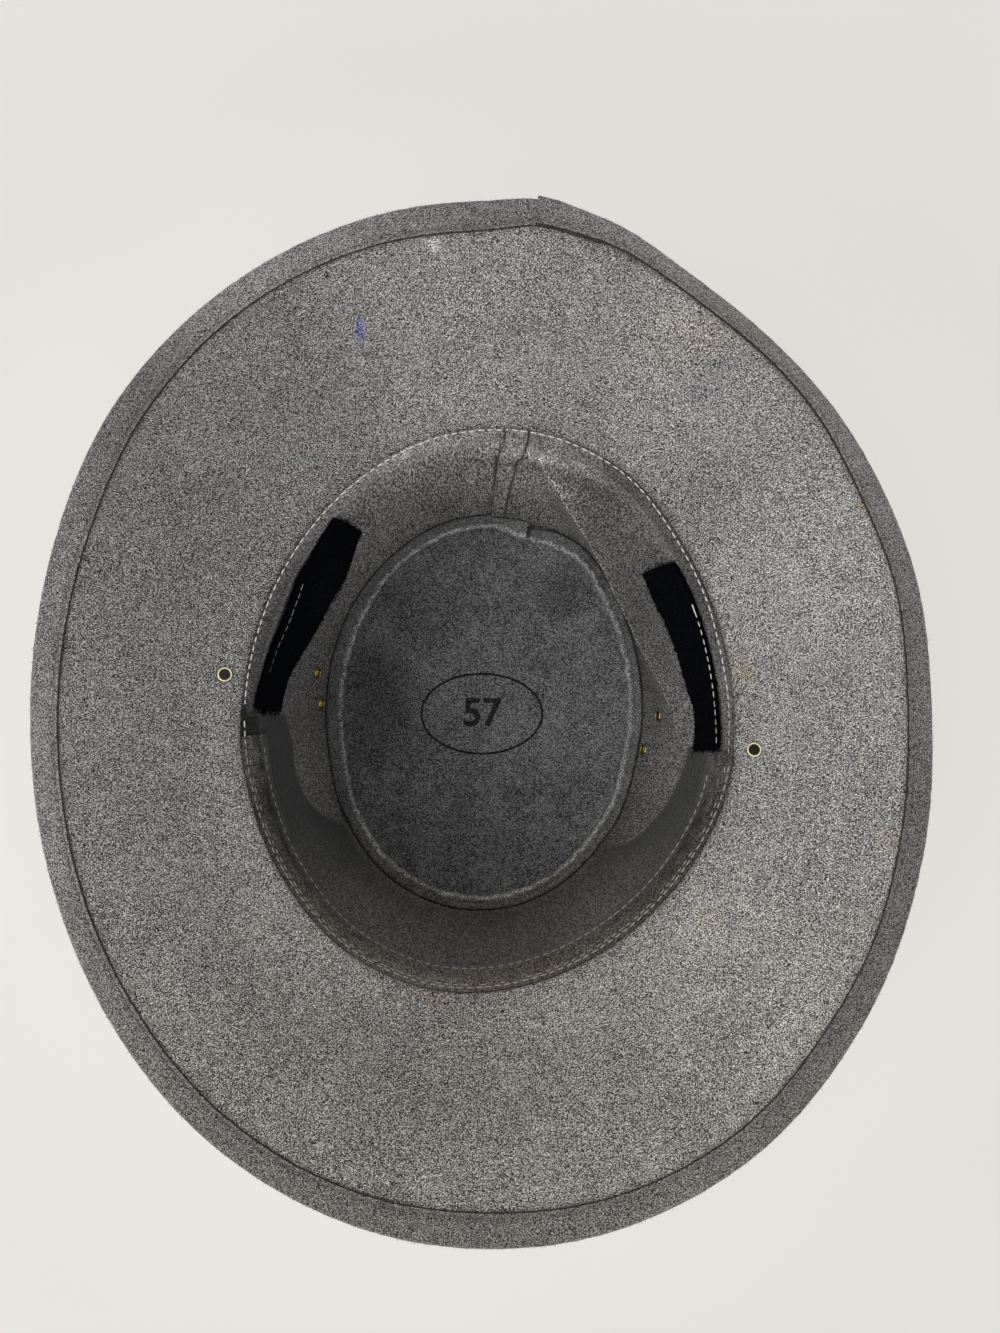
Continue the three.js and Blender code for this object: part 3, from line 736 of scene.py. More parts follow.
def eyelet(name, seat, node):
    point, axis = seat
    mesh = bmesh.new()
    corners = [mesh.verts.new((radius * mm, 0, height * mm)) for radius, height in eyeletProfile]
    rim = [mesh.edges.new(pair) for pair in zip(corners, corners[1:] + corners[:1])]
    bmesh.ops.spin(mesh, geom=corners + rim, cent=(0, 0, 0), axis=(0, 0, 1), angle=2 * math.pi,
                   steps=eyeletLook["steps"], use_merge=True)
    bmesh.ops.remove_doubles(mesh, verts=mesh.verts, dist=1e-7)
    bmesh.ops.recalc_face_normals(mesh, faces=mesh.faces)
    for face in mesh.faces:
        face.smooth = True
    wearAndShade = mesh.verts.layers.float.new("wearAndShade")
    for vertex in mesh.verts:
        reach = math.hypot(vertex.co.x, vertex.co.y) / mm
        # Painted shade: the brass is darker inside the hole, and a painted shadow lies just beyond the rim.
        vertex[wearAndShade] = -0.7 * (reach < eyeletLook["hole"] + 0.03) - 0.5 * (reach > eyeletLook["rim"])
    turn = Vector((0, 0, 1)).rotation_difference(axis).to_matrix().to_4x4()
    bmesh.ops.transform(mesh, matrix=Matrix.Translation(point * mm) @ turn, verts=mesh.verts)
    paint = paints["brass" if "brim" in name else "darkerBrass"]
    return mount(madeObject(name, mesh, paint), "eyelet_brass", node)


crownSeats = {name: crownSeat(*place) for name, place in crownEyelets.items()}
brimSeats = {name: brimSeat(*place) for name, place in brimEyelets.items()}
for name, seat in {**crownSeats, **brimSeats}.items():
    eyelet(name.replace("eyelet", "ring"), seat, name)
print("stage: eyelets")


# The brim's felt.
brimLook = {"turnStep": 0.75, "seamLine": 1.1, "seamShadow": -0.4, "seamWidth": 0.5, "cutEdge": 2.0}


def addBrim():
    turns = [brimLook["turnStep"] * step for step in range(round(360 / brimLook["turnStep"]) + 1)]
    levels = spaced(0, 0.08, 0.005) + spaced(0.1, 1, 0.025)

    def wearAt(angle, share):
        section = sectionAt(angle)
        out = share * (section["edge"] - section["join"])
        # Painted shadow: a dark line on the brim just outside the flange's cut edge, plus the painted light
        # and shade by angle.
        seam = brimLook["seamLine"] + fromTable(flangeShape, 1, angle % 360)
        line = brimLook["seamShadow"] * hump(out, seam, brimLook["seamWidth"])
        return line + fromTable(around, 1, angle % 360)

    def place(angle, share):
        section = sectionAt(angle)
        radius = lerp(section["join"] - hat["brimInset"], section["edge"] - brimLook["cutEdge"], share)
        return polar(angle, radius, brimHeight(angle, radius))

    mesh = clothMesh(turns, levels, place, wearAt, isRing=True)
    for point, axis in brimSeats.values():
        punch(mesh, point, axis, eyeletLook["holeInFelt"])
    piece = madeObject("brim_felt", mesh, paints["brim"])
    thicken(piece, hat["felt"])
    return mount(piece, "brim_felt", "brim")


# The tape folded over the brim's edge: out is measured from the felt's cut edge, and the lap is where one
# end lies on the other.
tapeLook = {"thickness": 1.0, "away": 1.5, "under": 0.93, "stitchIn": 1.4, "groove": 0.4, "grooveWidth": 0.6,
            "pucker": 0.18, "start": 76.5, "end": 444.5, "lapFrom": 426, "lapTo": 436, "lapRise": 1.15}
# The tape's wear and painted shade: streaks, a lighter fold over the edge, painted shade in the stitch groove
# and a painted shadow line along its cut edge.
tapeWearAndShade = {"streaks": 0.25, "calmStreaks": 0.3, "fold": 0.22, "seam": -0.16, "seamWidth": 0.8, "cut": -0.8}


def tapeRise(turn):
    return tapeLook["lapRise"] * smooth(turn, tapeLook["lapFrom"], tapeLook["lapTo"])


def hemSlope(turn):
    run = fromTable(around, 3, turn % 360) - hat["edgeRoom"]
    return run / math.hypot(run, sectionAt(turn)["drop"])


def tapeWidth(turn):
    return (fromTable(around, 3, turn % 360) - brimLook["cutEdge"]) / hemSlope(turn)


def hemPoint(turn, out, tilt, away):
    edge = sectionAt(turn)["edge"]
    point, normal, outward = brimFrame(turn, edge - brimLook["cutEdge"] + out * hemSlope(turn))
    lean = math.radians(tilt)
    side = outward * math.sin(lean) + normal * math.cos(lean)
    return point + side * away, side


def addBrimTape():
    look = tapeLook
    shares = [1, 0.99, 0.975, 0.95, 0.925, 0.9, 0.88, 0.86, 0.835, 0.8, 0.74, 0.66, 0.57, 0.47, 0.36, 0.25,
              0.15, 0.06]
    profile = [(share, 0) for share in shares]
    profile += [(0, 15 * index) for index in range(13)]
    profile += [(look["under"] * index / 12, 180) for index in range(1, 13)]

    def place(turn, row):
        share, tilt = profile[int(row)]
        width = tapeWidth(turn)
        groove = look["groove"] * hump(width * (1 - share), look["stitchIn"], look["grooveWidth"])
        pucker = look["pucker"] * waver(turn * 0.75, share, 5.0)
        return hemPoint(turn, -width * share, tilt, look["away"] - groove + tapeRise(turn) + pucker)[0]

    def wearAt(turn, row):
        share, tilt = profile[int(row)]
        worn = tapeWearAndShade["streaks"] * waver(turn * 1.3, row * 0.4, 0)
        worn *= 1 if 45 < tilt < 135 else tapeWearAndShade["calmStreaks"]
        worn += tapeWearAndShade["fold"] * smooth(tilt, 30, 75) * smooth(180 - tilt, 30, 75)
        inward = tapeWidth(turn) * (1 - share)
        # Painted shade in the stitch groove.
        paintedShading = tapeWearAndShade["seam"] * hump(inward, look["stitchIn"], tapeWearAndShade["seamWidth"]) if tilt == 0 else 0
        cut = tapeWearAndShade["cut"] if row == 0 else 0
        return worn + paintedShading + cut + fromTable(around, 2, turn % 360)

    turns = spaced(look["start"], look["end"], 0.75)
    mesh = clothMesh(turns, list(range(len(profile))), place, wearAt)
    piece = madeObject("brim_edge_tape", mesh, paints["brim"])
    thicken(piece, look["thickness"])
    return mount(piece, "brim_felt", "brim_binding")


addBrim()
addBrimTape()
print("stage: brim")


# The crown wall with its lapped back seam.
wallLook = {"turnStep": 0.75, "start": 76.0, "endTop": 446.4, "endFoot": 448.2, "lapFrom": 427, "lapTo": 436,
            "lapRise": 1.25, "levels": 40, "seamFoot": 84.4, "seamTop": 81.6, "groove": 0.3}
# Painted light and shade on the wall: a painted highlight along the dent's crease, above it and on the back's
# ledge;
# painted shade under the crease, in the dent and under the ledge; painted shadow lines at the lap's cut end
# and in the back seam's groove; darker lower down the wall and at the flange's edge; darker on the left,
# lighter at the front, and painted shade under the right strip's end. Bend is the painted shade of the wall's
# top, by its place round the hat.
wallLightAndShade = {"crease": 0.75, "overCrease": 0.12, "underCrease": -0.25, "dent": -0.34, "ridge": 0.38,
            "hollow": -0.36, "cut": -0.75, "seam": -0.8, "upper": -0.3, "flange": -0.3, "bend": -0.24,
            "bendLeft": -0.26, "bendRight": -0.12, "bendFarRight": -0.04, "bendMiddle": 0.26, "left": -0.14,
            "front": 0.28, "stripEnd": -0.25}
# By angle: a spot's width and amount.
wallSpots = ((20, 12, -0.1), (-36, 15, 0.08))


def wallLap(turn, level=0.0):
    rise = lerp(wallLook["lapRise"], 1.0, smooth(level, 0.92, 1.4))
    return rise * smooth(turn, wallLook["lapFrom"], wallLook["lapTo"])


# The back seam's stitch line, slanted as the cut edge is.
def seamAngle(level):
    return lerp(wallLook["seamFoot"], wallLook["seamTop"], clamp(level))


def addCrownWall():
    look = wallLook
    levels = spaced(0, 1, 1 / look["levels"]) + spaced(1, 2, 1 / 6)[1:] + spaced(2, 3, 1 / 3)[1:]
    first, last = look["start"], look["endTop"]

    def slanted(turn, level):
        later = lerp(look["endFoot"], look["endTop"], clamp(level)) - last
        return turn + later * smooth(turn, last - 14, last)

    def place(turn, level):
        turn = slanted(turn, level)
        groove = look["groove"] * hump(turn - 360, seamAngle(level), 0.4)
        return wallPlace(turn, level, wallLap(turn, level) - groove)

    def wearAt(turn, level):
        turn = slanted(turn, level)
        angle = signed(turn)
        away = abs(angle)
        wearAndShade = wallLightAndShade
        height = wallLine(turn, level)[1]
        deepest = fromTable(dentFold, 2, angle)
        crease = fromTable(dentFold, 1, angle)
        line = wearAndShade["crease"] * smooth(deepest, 0, 1.2) * hump(height - crease, 0, 1.0)
        line += wearAndShade["overCrease"] * smooth(deepest, 0, 1.2) * hump(height - crease, 6, 7)
        under = smooth(crease - height, 0, 2.5) * smooth(height, crease - 50, crease - 20)
        line += wearAndShade["underCrease"] * smooth(deepest, 0, 4) * under
        line += wearAndShade["dent"] * smooth(deepest, 3, 7) * smooth(height - crease, 0, 3)
        ledge = height - fromTable(shoulderFold, 1, angle)
        strong = fromTable(shoulderFold, 2, angle)
        ridge = wearAndShade["ridge"] * strong * hump(ledge, 0.3, 0.42)
        hollow = wearAndShade["hollow"] * strong * hump(ledge, -6, 6)
        end = lerp(look["endFoot"], look["endTop"], clamp(level)) - 360
        cut = wearAndShade["cut"] * hump(turn - end, 0.3, 0.4) if turn < 100 else 0
        seam = wearAndShade["seam"] * hump(turn - 360, seamAngle(level), 0.3) if turn > 400 else 0
        # Painted shading: darker lower down and at the flange's edge, the bend's painted shade, spots, darker
        # on the left, lighter at the front and darker under the strip's end.
        paintedShading = wearAndShade["upper"] * smooth(96 - height, 2, 14) + wearAndShade["flange"] * smooth(level, 2.7, 3)
        bend = wearAndShade["bend"] + wearAndShade["bendLeft"] * smooth(away, 118, 145)
        bend += wearAndShade["bendRight"] * smooth(88 - away, 0, 10)
        bend += wearAndShade["bendFarRight"] * smooth(36 - away, 0, 12) + wearAndShade["bendMiddle"] * hump(away, 108, 9)
        paintedShading += bend * smooth(level, 0.88, 1.15)
        paintedShading += sum(amount * hump(angle, middle, width) for middle, width, amount in wallSpots)
        front = -sine(angle)
        paintedShading += wearAndShade["left"] * smooth(-cosine(angle), 0.6, 0.95) * (1 - smooth(front, 0.2, 0.4))
        paintedShading += wearAndShade["front"] * smooth(front, 0, 0.35)
        paintedShading += wearAndShade["stripEnd"] * hump(angle, -13, 5) * smooth(level, 0.8, 1)
        return line + ridge + hollow + cut + seam + paintedShading

    turns = spaced(first, 434, look["turnStep"]) + spaced(434.4, last, 0.4)
    mesh = clothMesh(turns, levels, place, wearAt)
    for point, axis in crownSeats.values():
        punch(mesh, point, axis, eyeletLook["holeInFelt"])
    piece = madeObject("crown_wall", mesh, paints["crown"])
    thicken(piece, hat["felt"])
    return mount(piece, "crown_felt", "crown_side")


# The flat tip that the hat lies on.
tipLook = {"rings": 30, "turns": 180}


def addTip():
    mesh = bmesh.new()
    bmesh.ops.create_circle(mesh, cap_ends=True, cap_tris=True, segments=tipLook["turns"], radius=1)
    spokes = [edge for edge in mesh.edges if not edge.is_boundary]
    bmesh.ops.subdivide_edges(mesh, edges=spokes, cuts=tipLook["rings"])
    for vertex in mesh.verts:
        angle = math.degrees(math.atan2(vertex.co.y, vertex.co.x)) % 360
        reach = vertex.co.length * (sectionAt(angle)["tip"] + hat["felt"])
        vertex.co = polar(angle, reach, hat["tipTop"] / 2) * mm
    for face in mesh.faces:
        face.smooth = True
    bmesh.ops.recalc_face_normals(mesh, faces=mesh.faces)
    piece = madeObject("tip_felt", mesh, paints["tip"])
    thicken(piece, hat["tipTop"], 0.4)
    return mount(piece, "tip_felt", "crown_tip")


# The padded tape over the tip's seam: inset from the wall's foot and height over it, from the outer side in.
tipTapeLook = {"thickness": 0.9, "start": 77.1, "end": 446, "lapTo": 86, "lapFrom": 95, "lapRise": 1.9,
               "fuzz": 0.6, "gap": 1.5, "wider": 2.6, "leftWider": 1.2, "front": 1.1, "lumps": 0.9}
# The tape's ridge is lighter, its pale fuzz partly real and partly a painted highlight that is stronger on the
# left and front than on the right. The gap at its outer edge and the flap's cut end get painted shadow, the
# raised flap a painted highlight, and the front is lighter.
tipTapeWearAndShade = {"all": 0.3, "ridge": 0.6, "right": -0.28, "back": 0.35, "left": 0.6, "front": 0.55,
               "fluff": 1.2, "gap": -0.9, "cut": -0.95, "flap": 0.45, "frontBrighter": 0.22}
tipTapeProfile = [(0.55, 0.5), (0.9, 1.5), (1.6, 2.1), (2.5, 2.5), (3.4, 2.75), (4.2, 3.15), (4.8, 3.55),
                  (5.35, 3.6), (5.85, 3.2), (6.15, 2.4), (6.25, 1.5), (6.3, 0.5)]


def addTipTape():
    look = tipTapeLook
    fine = []
    for index in range(len(tipTapeProfile) - 1):
        near = [tipTapeProfile[clamp(index + step, 0, len(tipTapeProfile) - 1)] for step in (-1, 0, 1, 2)]
        for share in (0, 0.5):
            fine.append(tuple(throughFour(*(row[part] for row in near), share) for part in (0, 1)))
    fine.append(tipTapeProfile[-1])

    def place(turn, row):
        inset, height = fine[int(row)]
        tip = sectionAt(turn)["tip"]
        lap = look["lapRise"] * (1 - smooth(turn, look["lapTo"], look["lapFrom"]))
        under = wallLook["lapRise"] * max(smooth(turn, 67, 76) * (1 - smooth(turn, 87.6, 88.4)),
                                          smooth(turn, 427, 436) * (1 - smooth(turn, 447.6, 448.4)))
        under += look["gap"] * smooth(turn, 418, 436)
        angle = turn % 360
        wide = look["wider"] * smooth(angle, 55, 76) * (1 - smooth(angle, 78, 89))
        wide += look["leftWider"] * smooth(turn, 120, 150) * (1 - smooth(turn, 205, 225))
        front = look["front"] * smooth(turn, 208, 220) * (1 - smooth(turn, 310, 322))
        ridge = smooth(inset, 3.6, 5.2)
        lumps = look["lumps"] * ridge * (waver(turn * 0.22, 4, 0) + 0.7 * waver(turn * 0.55, 6, 0))
        bumps = look["fuzz"] * ridge * waver(turn * 0.9, inset * 0.5, 2.0)
        bumps += 0.5 * look["fuzz"] * waver(turn * 0.25, inset * 0.2, 9.0)
        outer = 1 - smooth(inset, 1, 6)
        radius = tip - inset + 0.25 * lap - under * outer - wide * (1 - outer) - front + 0.6 * bumps + lumps
        return polar(turn, radius, hat["footHeight"] + height + lap * smooth(height, 0.6, 2) + bumps)

    def wearAt(turn, row):
        inset, height = fine[int(row)]
        wearAndShade = tipTapeWearAndShade
        ridge = hump(inset, 5.65, 0.5) - 0.5 * smooth(inset, 6.05, 6.25)
        right, back = cosine(turn), sine(turn)
        strong = wearAndShade["ridge"] + wearAndShade["right"] * max(0, right) + wearAndShade["back"] * max(0, back)
        strong += wearAndShade["left"] * max(0, -right) + wearAndShade["front"] * max(0, -back)
        fluff = wearAndShade["fluff"] + 2.0 * waver(turn * 1.9, inset * 1.4, 0) + 1.4 * waver(turn * 0.4, 1, 0)
        gap = wearAndShade["gap"] * (1 - smooth(inset, 0.7, 1.3))
        cut = wearAndShade["cut"] * hump(turn - look["start"], 359.2, 0.8)
        flap = wearAndShade["flap"] * (1 - smooth(turn, 79, 90))
        front = wearAndShade["frontBrighter"] * smooth(-back, 0.4, 0.9)
        return wearAndShade["all"] + ridge * strong * max(fluff, 0.1) + gap + cut + flap + front

    turns = spaced(look["start"], 434, 0.6) + spaced(434.2, 439, 0.2) + spaced(439.5, look["end"], 0.6)
    mesh = clothMesh(turns, list(range(len(fine))), place, wearAt)
    piece = madeObject("tip_tape", mesh, paints["tip"])
    thicken(piece, look["thickness"], 0.2)
    return mount(piece, "tip_felt", "tip_binding")


addCrownWall()
addTip()
addTipTape()
print("stage: crown")


# The sweat panel inside the front, and the hem turned over along its sewn edge.
panelLook = {"thickness": 1.2, "away": 1.65, "reach": 1.15, "hemThickness": 0.9, "hemAway": 2.75,
             "hemHeight": 90.2, "first": 182.0, "last": 348.8, "flap": 2.6, "flapRise": 2.0,
             "flangeReach": 1.6, "ripple": 0.35}
# Painted light and shade on the sweat panel: a lighter lower edge with painted shade just above it, lighter at
# its first end, at the front near the tape and on the right, darker at the sides and on the left, and painted
# shade under the hem and at the top.
panelLightAndShade = {"foot": 0.6, "overFoot": -0.2, "end": 0.5, "front": 0.54, "sides": -0.6, "left": -0.36,
             "middle": 0.1, "right": 0.3, "all": -0.15, "underHem": -0.15, "top": -0.15}
# Painted light and shade on the hem: much darker at the sides and lighter at the front, with a lighter patch,
# darker towards the right front, streaks, and painted shade along its foot and its inner stitch line.
hemLightAndShade = {"front": 0.56, "sides": -1.3, "left": -0.15, "farLeft": 0.3, "right": 0.25, "lightPatch": 0.3,
           "darkerRightFront": -0.12, "streaks": 0.3, "foot": -0.3, "seam": -0.25}


def levelAt(angle, height):
    low, high = 0.0, 1.0
    for _ in range(18):
        middle = (low + high) / 2
        if wallLine(angle, middle)[1] < height:
            low = middle
        else:
            high = middle
    return low


@lru_cache(maxsize=None)
def panelFoot(angle):
    return levelAt(angle, max(fromTable(panelEdge, 1, angle), 5.2))


@lru_cache(maxsize=None)
def hemFoot(angle):
    return levelAt(angle, max(panelLook["hemHeight"], fromTable(panelEdge, 1, angle) + 1.5))


def addPanel():
    look = panelLook
    start = hat["wallInset"] - hat["felt"] / 2 - wallShape["bend"]
    top = 2 + (look["reach"] + start) / (look["flangeReach"] + start)

    def panelPlace(angle, share):
        level = lerp(panelFoot(angle), top, share)
        ripple = look["ripple"] * noise.noise(polar(angle, 80, 60 * share) / 17) * smooth(0.6 - share, 0, 0.4)
        corner = smooth(share, 0.5, 0.8) * (1 - smooth(angle, look["first"], look["first"] + 4))
        inward = look["away"] + abs(ripple) + look["flapRise"] * corner
        return wallPlace(angle - look["flap"] * corner, level, inward)

    def hemPlace(angle, share):
        return wallPlace(angle, lerp(hemFoot(angle), top - 0.12, share), look["hemAway"])

    def sides(angle):
        return abs(sine(angle - 270))

    def wearAt(angle, share):
        wearAndShade = panelLightAndShade
        edge = wearAndShade["foot"] * hump(share, 0, 0.012) + wearAndShade["overFoot"] * hump(share, 0, 0.2)
        edge += wearAndShade["end"] * hump(angle, look["first"], 0.4)
        edge += wearAndShade["front"] * smooth(0.75 - sides(angle), 0, 0.6) * (1 - smooth(share, 0.1, 0.6))
        edge += wearAndShade["sides"] * smooth(sides(angle), 0.45, 0.85) + wearAndShade["left"] * smooth(220 - angle, 0, 25)
        edge += wearAndShade["middle"] * smooth(290 - angle, 0, 25) * smooth(angle, 225, 240)
        streaks = 1 + waver(angle * 0.2, share * 20, 1)
        edge += wearAndShade["right"] * smooth(angle, 328, 342) * smooth(share, 0.2, 0.6) * streaks
        edge += wearAndShade["underHem"] * smooth(share, 0.8, 0.9) + wearAndShade["top"] * smooth(share, 0.985, 1.0)
        return edge + wearAndShade["all"]

    def hemWearAt(angle, share):
        wearAndShade = hemLightAndShade
        streaks = wearAndShade["streaks"] * waver(angle * 0.3, share * 9, 4.0)
        seam = wearAndShade["foot"] * hump(share, 0, 0.1) + wearAndShade["seam"] * hump(share, 0.25, 0.08)
        lightPatch = wearAndShade["lightPatch"] * hump(angle, 258, 24) + wearAndShade["darkerRightFront"] * smooth(angle, 285, 300)
        shade = wearAndShade["front"] + wearAndShade["sides"] * sides(angle) + wearAndShade["left"] * max(0, -cosine(angle))
        shade += wearAndShade["right"] * smooth(angle, 328, 342) + wearAndShade["farLeft"] * smooth(206 - angle, 0, 14)
        return shade + lightPatch + streaks + seam

    turns = spaced(look["first"], look["last"], 0.75)
    mesh = clothMesh(turns, spaced(0, 1, 1 / 44), panelPlace, wearAt)
    piece = madeObject("sweat_panel", mesh, paints["crown"])
    thicken(piece, look["thickness"])
    mount(piece, "crown_felt", "front_panel")
    turns = spaced(look["first"] + 5, look["last"] - 0.6, 0.75)
    mesh = clothMesh(turns, spaced(0, 1, 1 / 16), hemPlace, hemWearAt)
    hem = madeObject("sweat_panel_hem", mesh, paints["crown"])
    thicken(hem, look["hemThickness"])
    mount(hem, "crown_felt")


# Black fastener strips sewn by their upper edge, the lower edge standing free.
stripLook = {"width": 16, "thickness": 1.6, "away": 1.3, "sag": 0.8, "pile": 0.22, "pileSize": 0.8}


def stripPlace(table, angle, share, lift=0.0):
    look = stripLook
    inset, top, out, skew = (fromTable(table, column, angle) for column in (1, 2, 3, 4))
    angle += skew * (share - 0.5)
    fall = math.sqrt(look["width"] ** 2 - inset ** 2)
    dip = look["sag"] * math.sin(math.pi * share)
    height = top - fall * share - dip
    outer = wallRadius(angle, 90) - look["away"] + out
    radius = outer - inset * share + dip
    if height < 90:
        radius = min(radius, wallRadius(angle, height) - look["away"])
    lean = Vector((inset, fall)).normalized()
    return polar(angle, radius - lift * lean.y, height + lift * lean.x)


def addStrip(name, table, node):
    look = stripLook

    def place(angle, share):
        spot = stripPlace(table, angle, share)
        pile = look["pile"] * noise.noise(spot / look["pileSize"])
        ragged = 0.4 * waver(angle * 2.0, 3.0, 0) + 0.7 * waver(angle * 0.6, 8.0 + share, 0)
        ragged *= abs(2 * share - 1) ** 6
        return stripPlace(table, angle, share + ragged / look["width"], pile)

    turns = spaced(table[0][0], table[-1][0], 0.3)
    piece = madeObject(name, clothMesh(turns, spaced(0, 1, 1 / 34), place), paints["pile"])
    thicken(piece, look["thickness"], 0.35)
    return mount(piece, "fastener_tape", node)


addPanel()
addStrip("fastener_tape_left", leftStrip, "fastener_strip_left")
addStrip("fastener_tape_right", rightStrip, "fastener_strip_right")
print("stage: panel and fastener strips")


# Stitches: each is a small pellet half sunk in the cloth, laid along a row of (point, normal).
# Skip is the share of stitches that are gone, and step how finely the row is walked.
stitchLook = {"pitch": 3.15, "length": 2.35, "width": 0.5, "rise": 0.42, "skip": 0.0, "step": 0.25,
              "askew": 0.06}
# How far each row lies from the middle surface of the brim, the wall or the strip under it.
stitchHeights = {"joinBack": 2.9, "joinFront": 5.2, "panel": 3.32, "edgeTop": 1.68, "edgeUnder": 2.03,
                 "strip": 0.85, "seam": 0.75}


def stitchRow(name, pathAt, start, end, paint, slot, other):
    look = {**stitchLook, **other}
    chance = random.Random(name)
    fine = [pathAt(value) for value in spaced(start, end, look["step"])]
    mesh = bmesh.new()
    travelled, due = 0.0, look["pitch"] / 2
    for (point, normal), (after, _) in zip(fine, fine[1:]):
        travelled += (after - point).length
        if travelled < due:
            continue
        due += look["pitch"]
        if chance.random() < look["skip"]:
            continue
        along = (after - point).normalized()
        astray = Vector((chance.uniform(-1, 1), chance.uniform(-1, 1), 0)) * look["askew"]
        along = (along + astray).normalized()
        across = normal.cross(along).normalized()
        up = along.cross(across)
        turn = Matrix((along, across, up)).transposed().to_4x4()
        reach = look["length"] / 2 * chance.uniform(0.9, 1.08)
        size = Matrix.Diagonal((reach, look["width"] / 2, look["rise"] / 2, 1))
        matrix = Matrix.Translation(point * mm) @ turn @ size @ Matrix.Scale(mm, 4)
        matrix = matrix @ Matrix.Rotation(math.pi / 2, 4, "Y")
        bmesh.ops.create_uvsphere(mesh, u_segments=8, v_segments=6, radius=1, matrix=matrix)
    for face in mesh.faces:
        face.smooth = True
    return mount(madeObject(name, mesh, paint), slot)


def onFlange(turn, reach, above):
    radius = sectionAt(turn)["join"] + reach
    point, normal, _ = brimFrame(turn, radius)
    return point + normal * above, normal


def onWall(turn, level, inward):
    point = wallPlace(turn, level, inward)
    return point, (wallPlace(turn, level, inward + 1) - point).normalized()


def lapUnder(turn):
    return wallLap(turn + 360, 2) if turn < wallLook["endTop"] - 360 else 0


def joinSeam(turn):
    reach = fromTable(flangeShape, 1, turn % 360) - fromTable(flangeShape, 2, turn % 360)
    return onFlange(turn, reach, stitchHeights["joinBack"] + lapUnder(turn))


def frontSeam(reach):
    return lambda turn: onFlange(turn, reach, stitchHeights["joinFront"])


def panelSeam(turn):
    return onWall(turn, hemFoot(turn) + 0.03, stitchHeights["panel"])


def edgeSeam(inward, tilt, row):
    return lambda turn: hemPoint(turn, inward - tapeWidth(turn), tilt, stitchHeights[row] + tapeRise(turn))


def stripPath(table, share):
    def path(turn):
        height = stitchHeights["strip"]
        point = stripPlace(table, turn, share, height)
        return point, (stripPlace(table, turn, share, height + 1) - point).normalized()

    return path


def seamPath(level):
    turn = 360 + seamAngle(level)
    return onWall(turn, level, wallLap(turn) + stitchHeights["seam"])


# Name, path, where it starts and ends, thread, slot and what differs from stitchLook.
stitchRows = (
    ("join_stitches_back", joinSeam, -11.5, 184, "thread", "brim_felt", {"length": 2.3, "width": 0.48}),
    ("join_stitches_front", frontSeam(-0.1), 183.2, 346, "thread", "brim_felt", {}),
    ("join_stitches_inner", frontSeam(-1.75), 190, 346, "thread", "brim_felt",
     {"length": 2.1, "width": 0.36, "skip": 0.15}),
    ("panel_stitches", panelSeam, 190, 343, "thread", "crown_felt", {}),
    ("edge_stitches_top", edgeSeam(tapeLook["stitchIn"], 0, "edgeTop"), 77, 444, "greyThread", "brim_felt",
     {"length": 2.2, "width": 0.42}),
    ("edge_stitches_under", edgeSeam(2.1, 180, "edgeUnder"), 77, 444, "greyThread", "brim_felt",
     {"length": 2.2, "width": 0.42}),
    ("strip_stitches_left", stripPath(leftStrip, 0.15), 146, 178, "stripThread", "fastener_tape",
     {"length": 2.6, "width": 0.28, "skip": 0.2}),
    ("strip_stitches_right", stripPath(rightStrip, 0.01), -10, 27, "thread", "fastener_tape",
     {"length": 2.2, "width": 0.34, "skip": 0.08}),
    ("strip_thread_end", stripPath(rightStrip, 0.02), 24.6, 27, "thread", "fastener_tape",
     {"pitch": 1.6, "length": 2.4, "width": 0.5}),
    ("seam_stitches", seamPath, 0.06, 0.98, "darkThread", "crown_felt",
     {"length": 2.3, "width": 0.4, "step": 0.01}),
)
for name, path, start, end, thread, slot, other in stitchRows:
    stitchRow(name, path, start, end, paints[thread], slot, other)
print("stage: stitches")


# Loose ends: thin threads through points in mm, made as curves and turned into one mesh.
def asMesh(name, curve, material):
    holder = bpy.data.objects.new(name, curve)
    scene.collection.objects.link(holder)
    shown = holder.evaluated_get(bpy.context.evaluated_depsgraph_get())
    mesh = bmesh.new()
    mesh.from_mesh(shown.to_mesh())
    bpy.data.objects.remove(holder)
    bmesh.ops.remove_doubles(mesh, verts=mesh.verts, dist=1e-7)
    return madeObject(name, mesh, material)


def threads(name, lines, radius, material, slot):
    curve = bpy.data.curves.new(name + "_line", "CURVE")
    curve.dimensions = "3D"
    curve.bevel_depth = radius * mm
    curve.bevel_resolution = 0
    curve.use_fill_caps = True
    for line in lines:
        spline = curve.splines.new("POLY")
        spline.points.add(len(line) - 1)
        for point, corner in zip(spline.points, line):
            point.co = (*(corner * mm), 1)
    return mount(asMesh(name, curve, material), slot)


def anyWay(chance):
    return Vector([chance.uniform(-1, 1) for _ in range(3)])


def fibre(chance, seat, length):
    point, outward = seat
    reach = length * chance.uniform(0.35, 1.0) / 2
    way = (outward + 0.9 * anyWay(chance)).normalized()
    end = (way + 1.1 * anyWay(chance)).normalized()
    return [point - outward * 0.15, point + way * reach, point + (way + end) * reach]


fuzzLook = {"rim": 2400, "rimLength": 0.9, "ridge": 900, "ridgeLength": 1.3, "strip": 1500, "stripLength": 1.5,
            "fibre": 0.045, "ends": 90, "frays": 15, "frayLength": 4.0, "fray": 0.13}


def addRimFuzz():
    chance = random.Random(1)

    def seat():
        turn = chance.uniform(tapeLook["start"], tapeLook["end"])
        return hemPoint(turn, 0, chance.uniform(30, 150), tapeLook["away"] + 0.5 + tapeRise(turn))

    lines = [fibre(chance, seat(), fuzzLook["rimLength"]) for _ in range(fuzzLook["rim"])]
    threads("rim_fuzz", lines, fuzzLook["fibre"], paints["paleFibre"], "brim_felt")


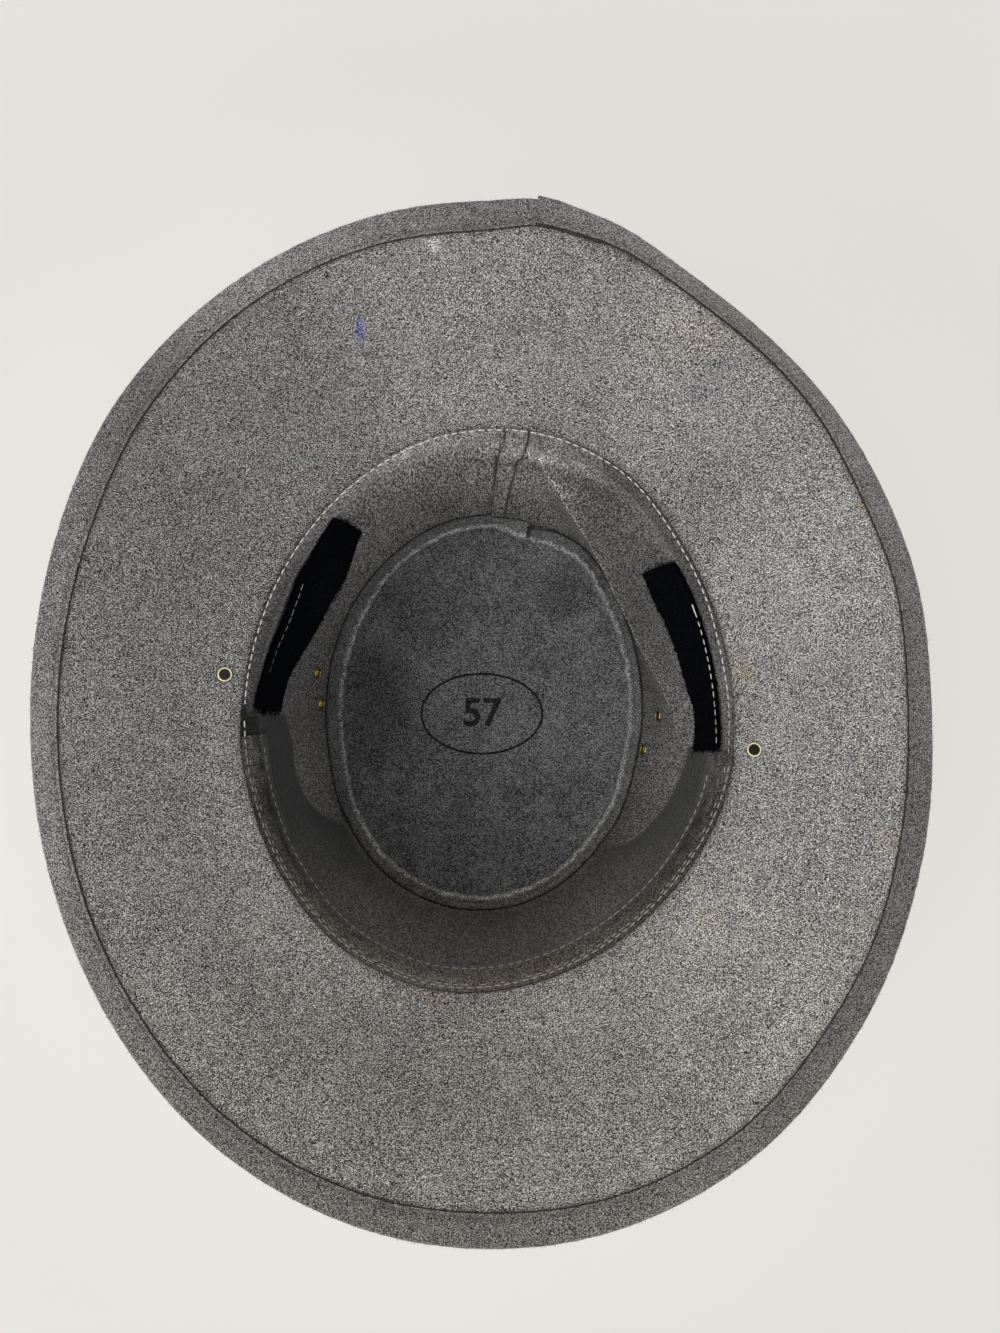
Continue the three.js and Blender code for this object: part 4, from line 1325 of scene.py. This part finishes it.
def addRidgeFuzz():
    chance = random.Random(2)

    def seat():
        turn = chance.uniform(0, 360)
        radius = sectionAt(turn)["tip"] - chance.uniform(4.4, 6.0)
        return polar(turn, radius, hat["footHeight"] + 3.9), Vector((0, 0, 1))

    lines = [fibre(chance, seat(), fuzzLook["ridgeLength"]) for _ in range(fuzzLook["ridge"])]
    threads("tip_tape_fuzz", lines, fuzzLook["fibre"], paints["paleFibre"], "tip_felt")


def addStripFuzz(name, table, frayed):
    chance = random.Random(name)
    first, last = table[0][0], table[-1][0]

    def edgeSeat():
        turn, share = chance.uniform(first, last), chance.choice((0.0, 1.0))
        point = stripPlace(table, turn, share)
        return point, (point - stripPlace(table, turn, 0.5)).normalized()

    def endSeat(turn):
        share = chance.uniform(0.02, 0.98)
        inner = clamp(turn, first + 2, last - 2)
        point = stripPlace(table, turn, share)
        return point, (point - stripPlace(table, inner, share)).normalized()

    lines = [fibre(chance, edgeSeat(), fuzzLook["stripLength"]) for _ in range(fuzzLook["strip"])]
    lines += [fibre(chance, endSeat(end), fuzzLook["stripLength"]) for end in (first, last)
              for _ in range(fuzzLook["ends"])]
    threads(name + "_fuzz", lines, fuzzLook["fibre"], paints["pile"], "fastener_tape")
    lines = [fibre(chance, endSeat(frayed), fuzzLook["frayLength"]) for _ in range(fuzzLook["frays"])]
    threads(name + "_frays", lines, fuzzLook["fray"], paints["pile"], "fastener_tape")


addRimFuzz()
addRidgeFuzz()
addStripFuzz("strip_left", leftStrip, leftStrip[-1][0])
addStripFuzz("strip_right", rightStrip, rightStrip[0][0])
print("stage: loose fibres")


# The size number printed inside the tip, in an oval.
printLook = {"text": "57", "height": 17, "middle": (-1.5, -1.5), "oval": (27, 18), "line": 1.0, "bold": 0.35,
             "above": 0.04}


def addPrint():
    look = printLook
    middle = Vector((*look["middle"], hat["tipTop"] + look["above"])) * mm
    text = bpy.data.curves.new("size_number_line", "FONT")
    text.body = look["text"]
    text.size = look["height"] * mm
    text.offset = look["bold"] * mm
    text.align_x = "CENTER"
    text.align_y = "CENTER"
    number = asMesh("size_number", text, paints["ink"])
    number.data.transform(Matrix.Translation(middle))
    mount(number, "tip_felt")
    ring = bmesh.new()
    for inset in (0, look["line"]):
        bmesh.ops.create_circle(ring, segments=96, radius=1, matrix=Matrix.Diagonal(
            ((look["oval"][0] - inset) * mm, (look["oval"][1] - inset) * mm, 1, 1)))
    bmesh.ops.bridge_loops(ring, edges=ring.edges)
    bmesh.ops.translate(ring, vec=middle, verts=ring.verts)
    bmesh.ops.recalc_face_normals(ring, faces=ring.faces)
    if sum(face.normal.z for face in ring.faces) < 0:
        bmesh.ops.reverse_faces(ring, faces=ring.faces)
    mount(madeObject("size_oval", ring, paints["ink"]), "tip_felt")


addPrint()
print("stage: print")

floorMesh = bmesh.new()
bmesh.ops.create_grid(floorMesh, x_segments=1, y_segments=1, size=light["floorSize"] / 2)
bmesh.ops.translate(floorMesh, vec=(0, 0, -light["floorDrop"]), verts=floorMesh.verts)
madeObject("floor", floorMesh, paints["floor"])
print("stage: floor")
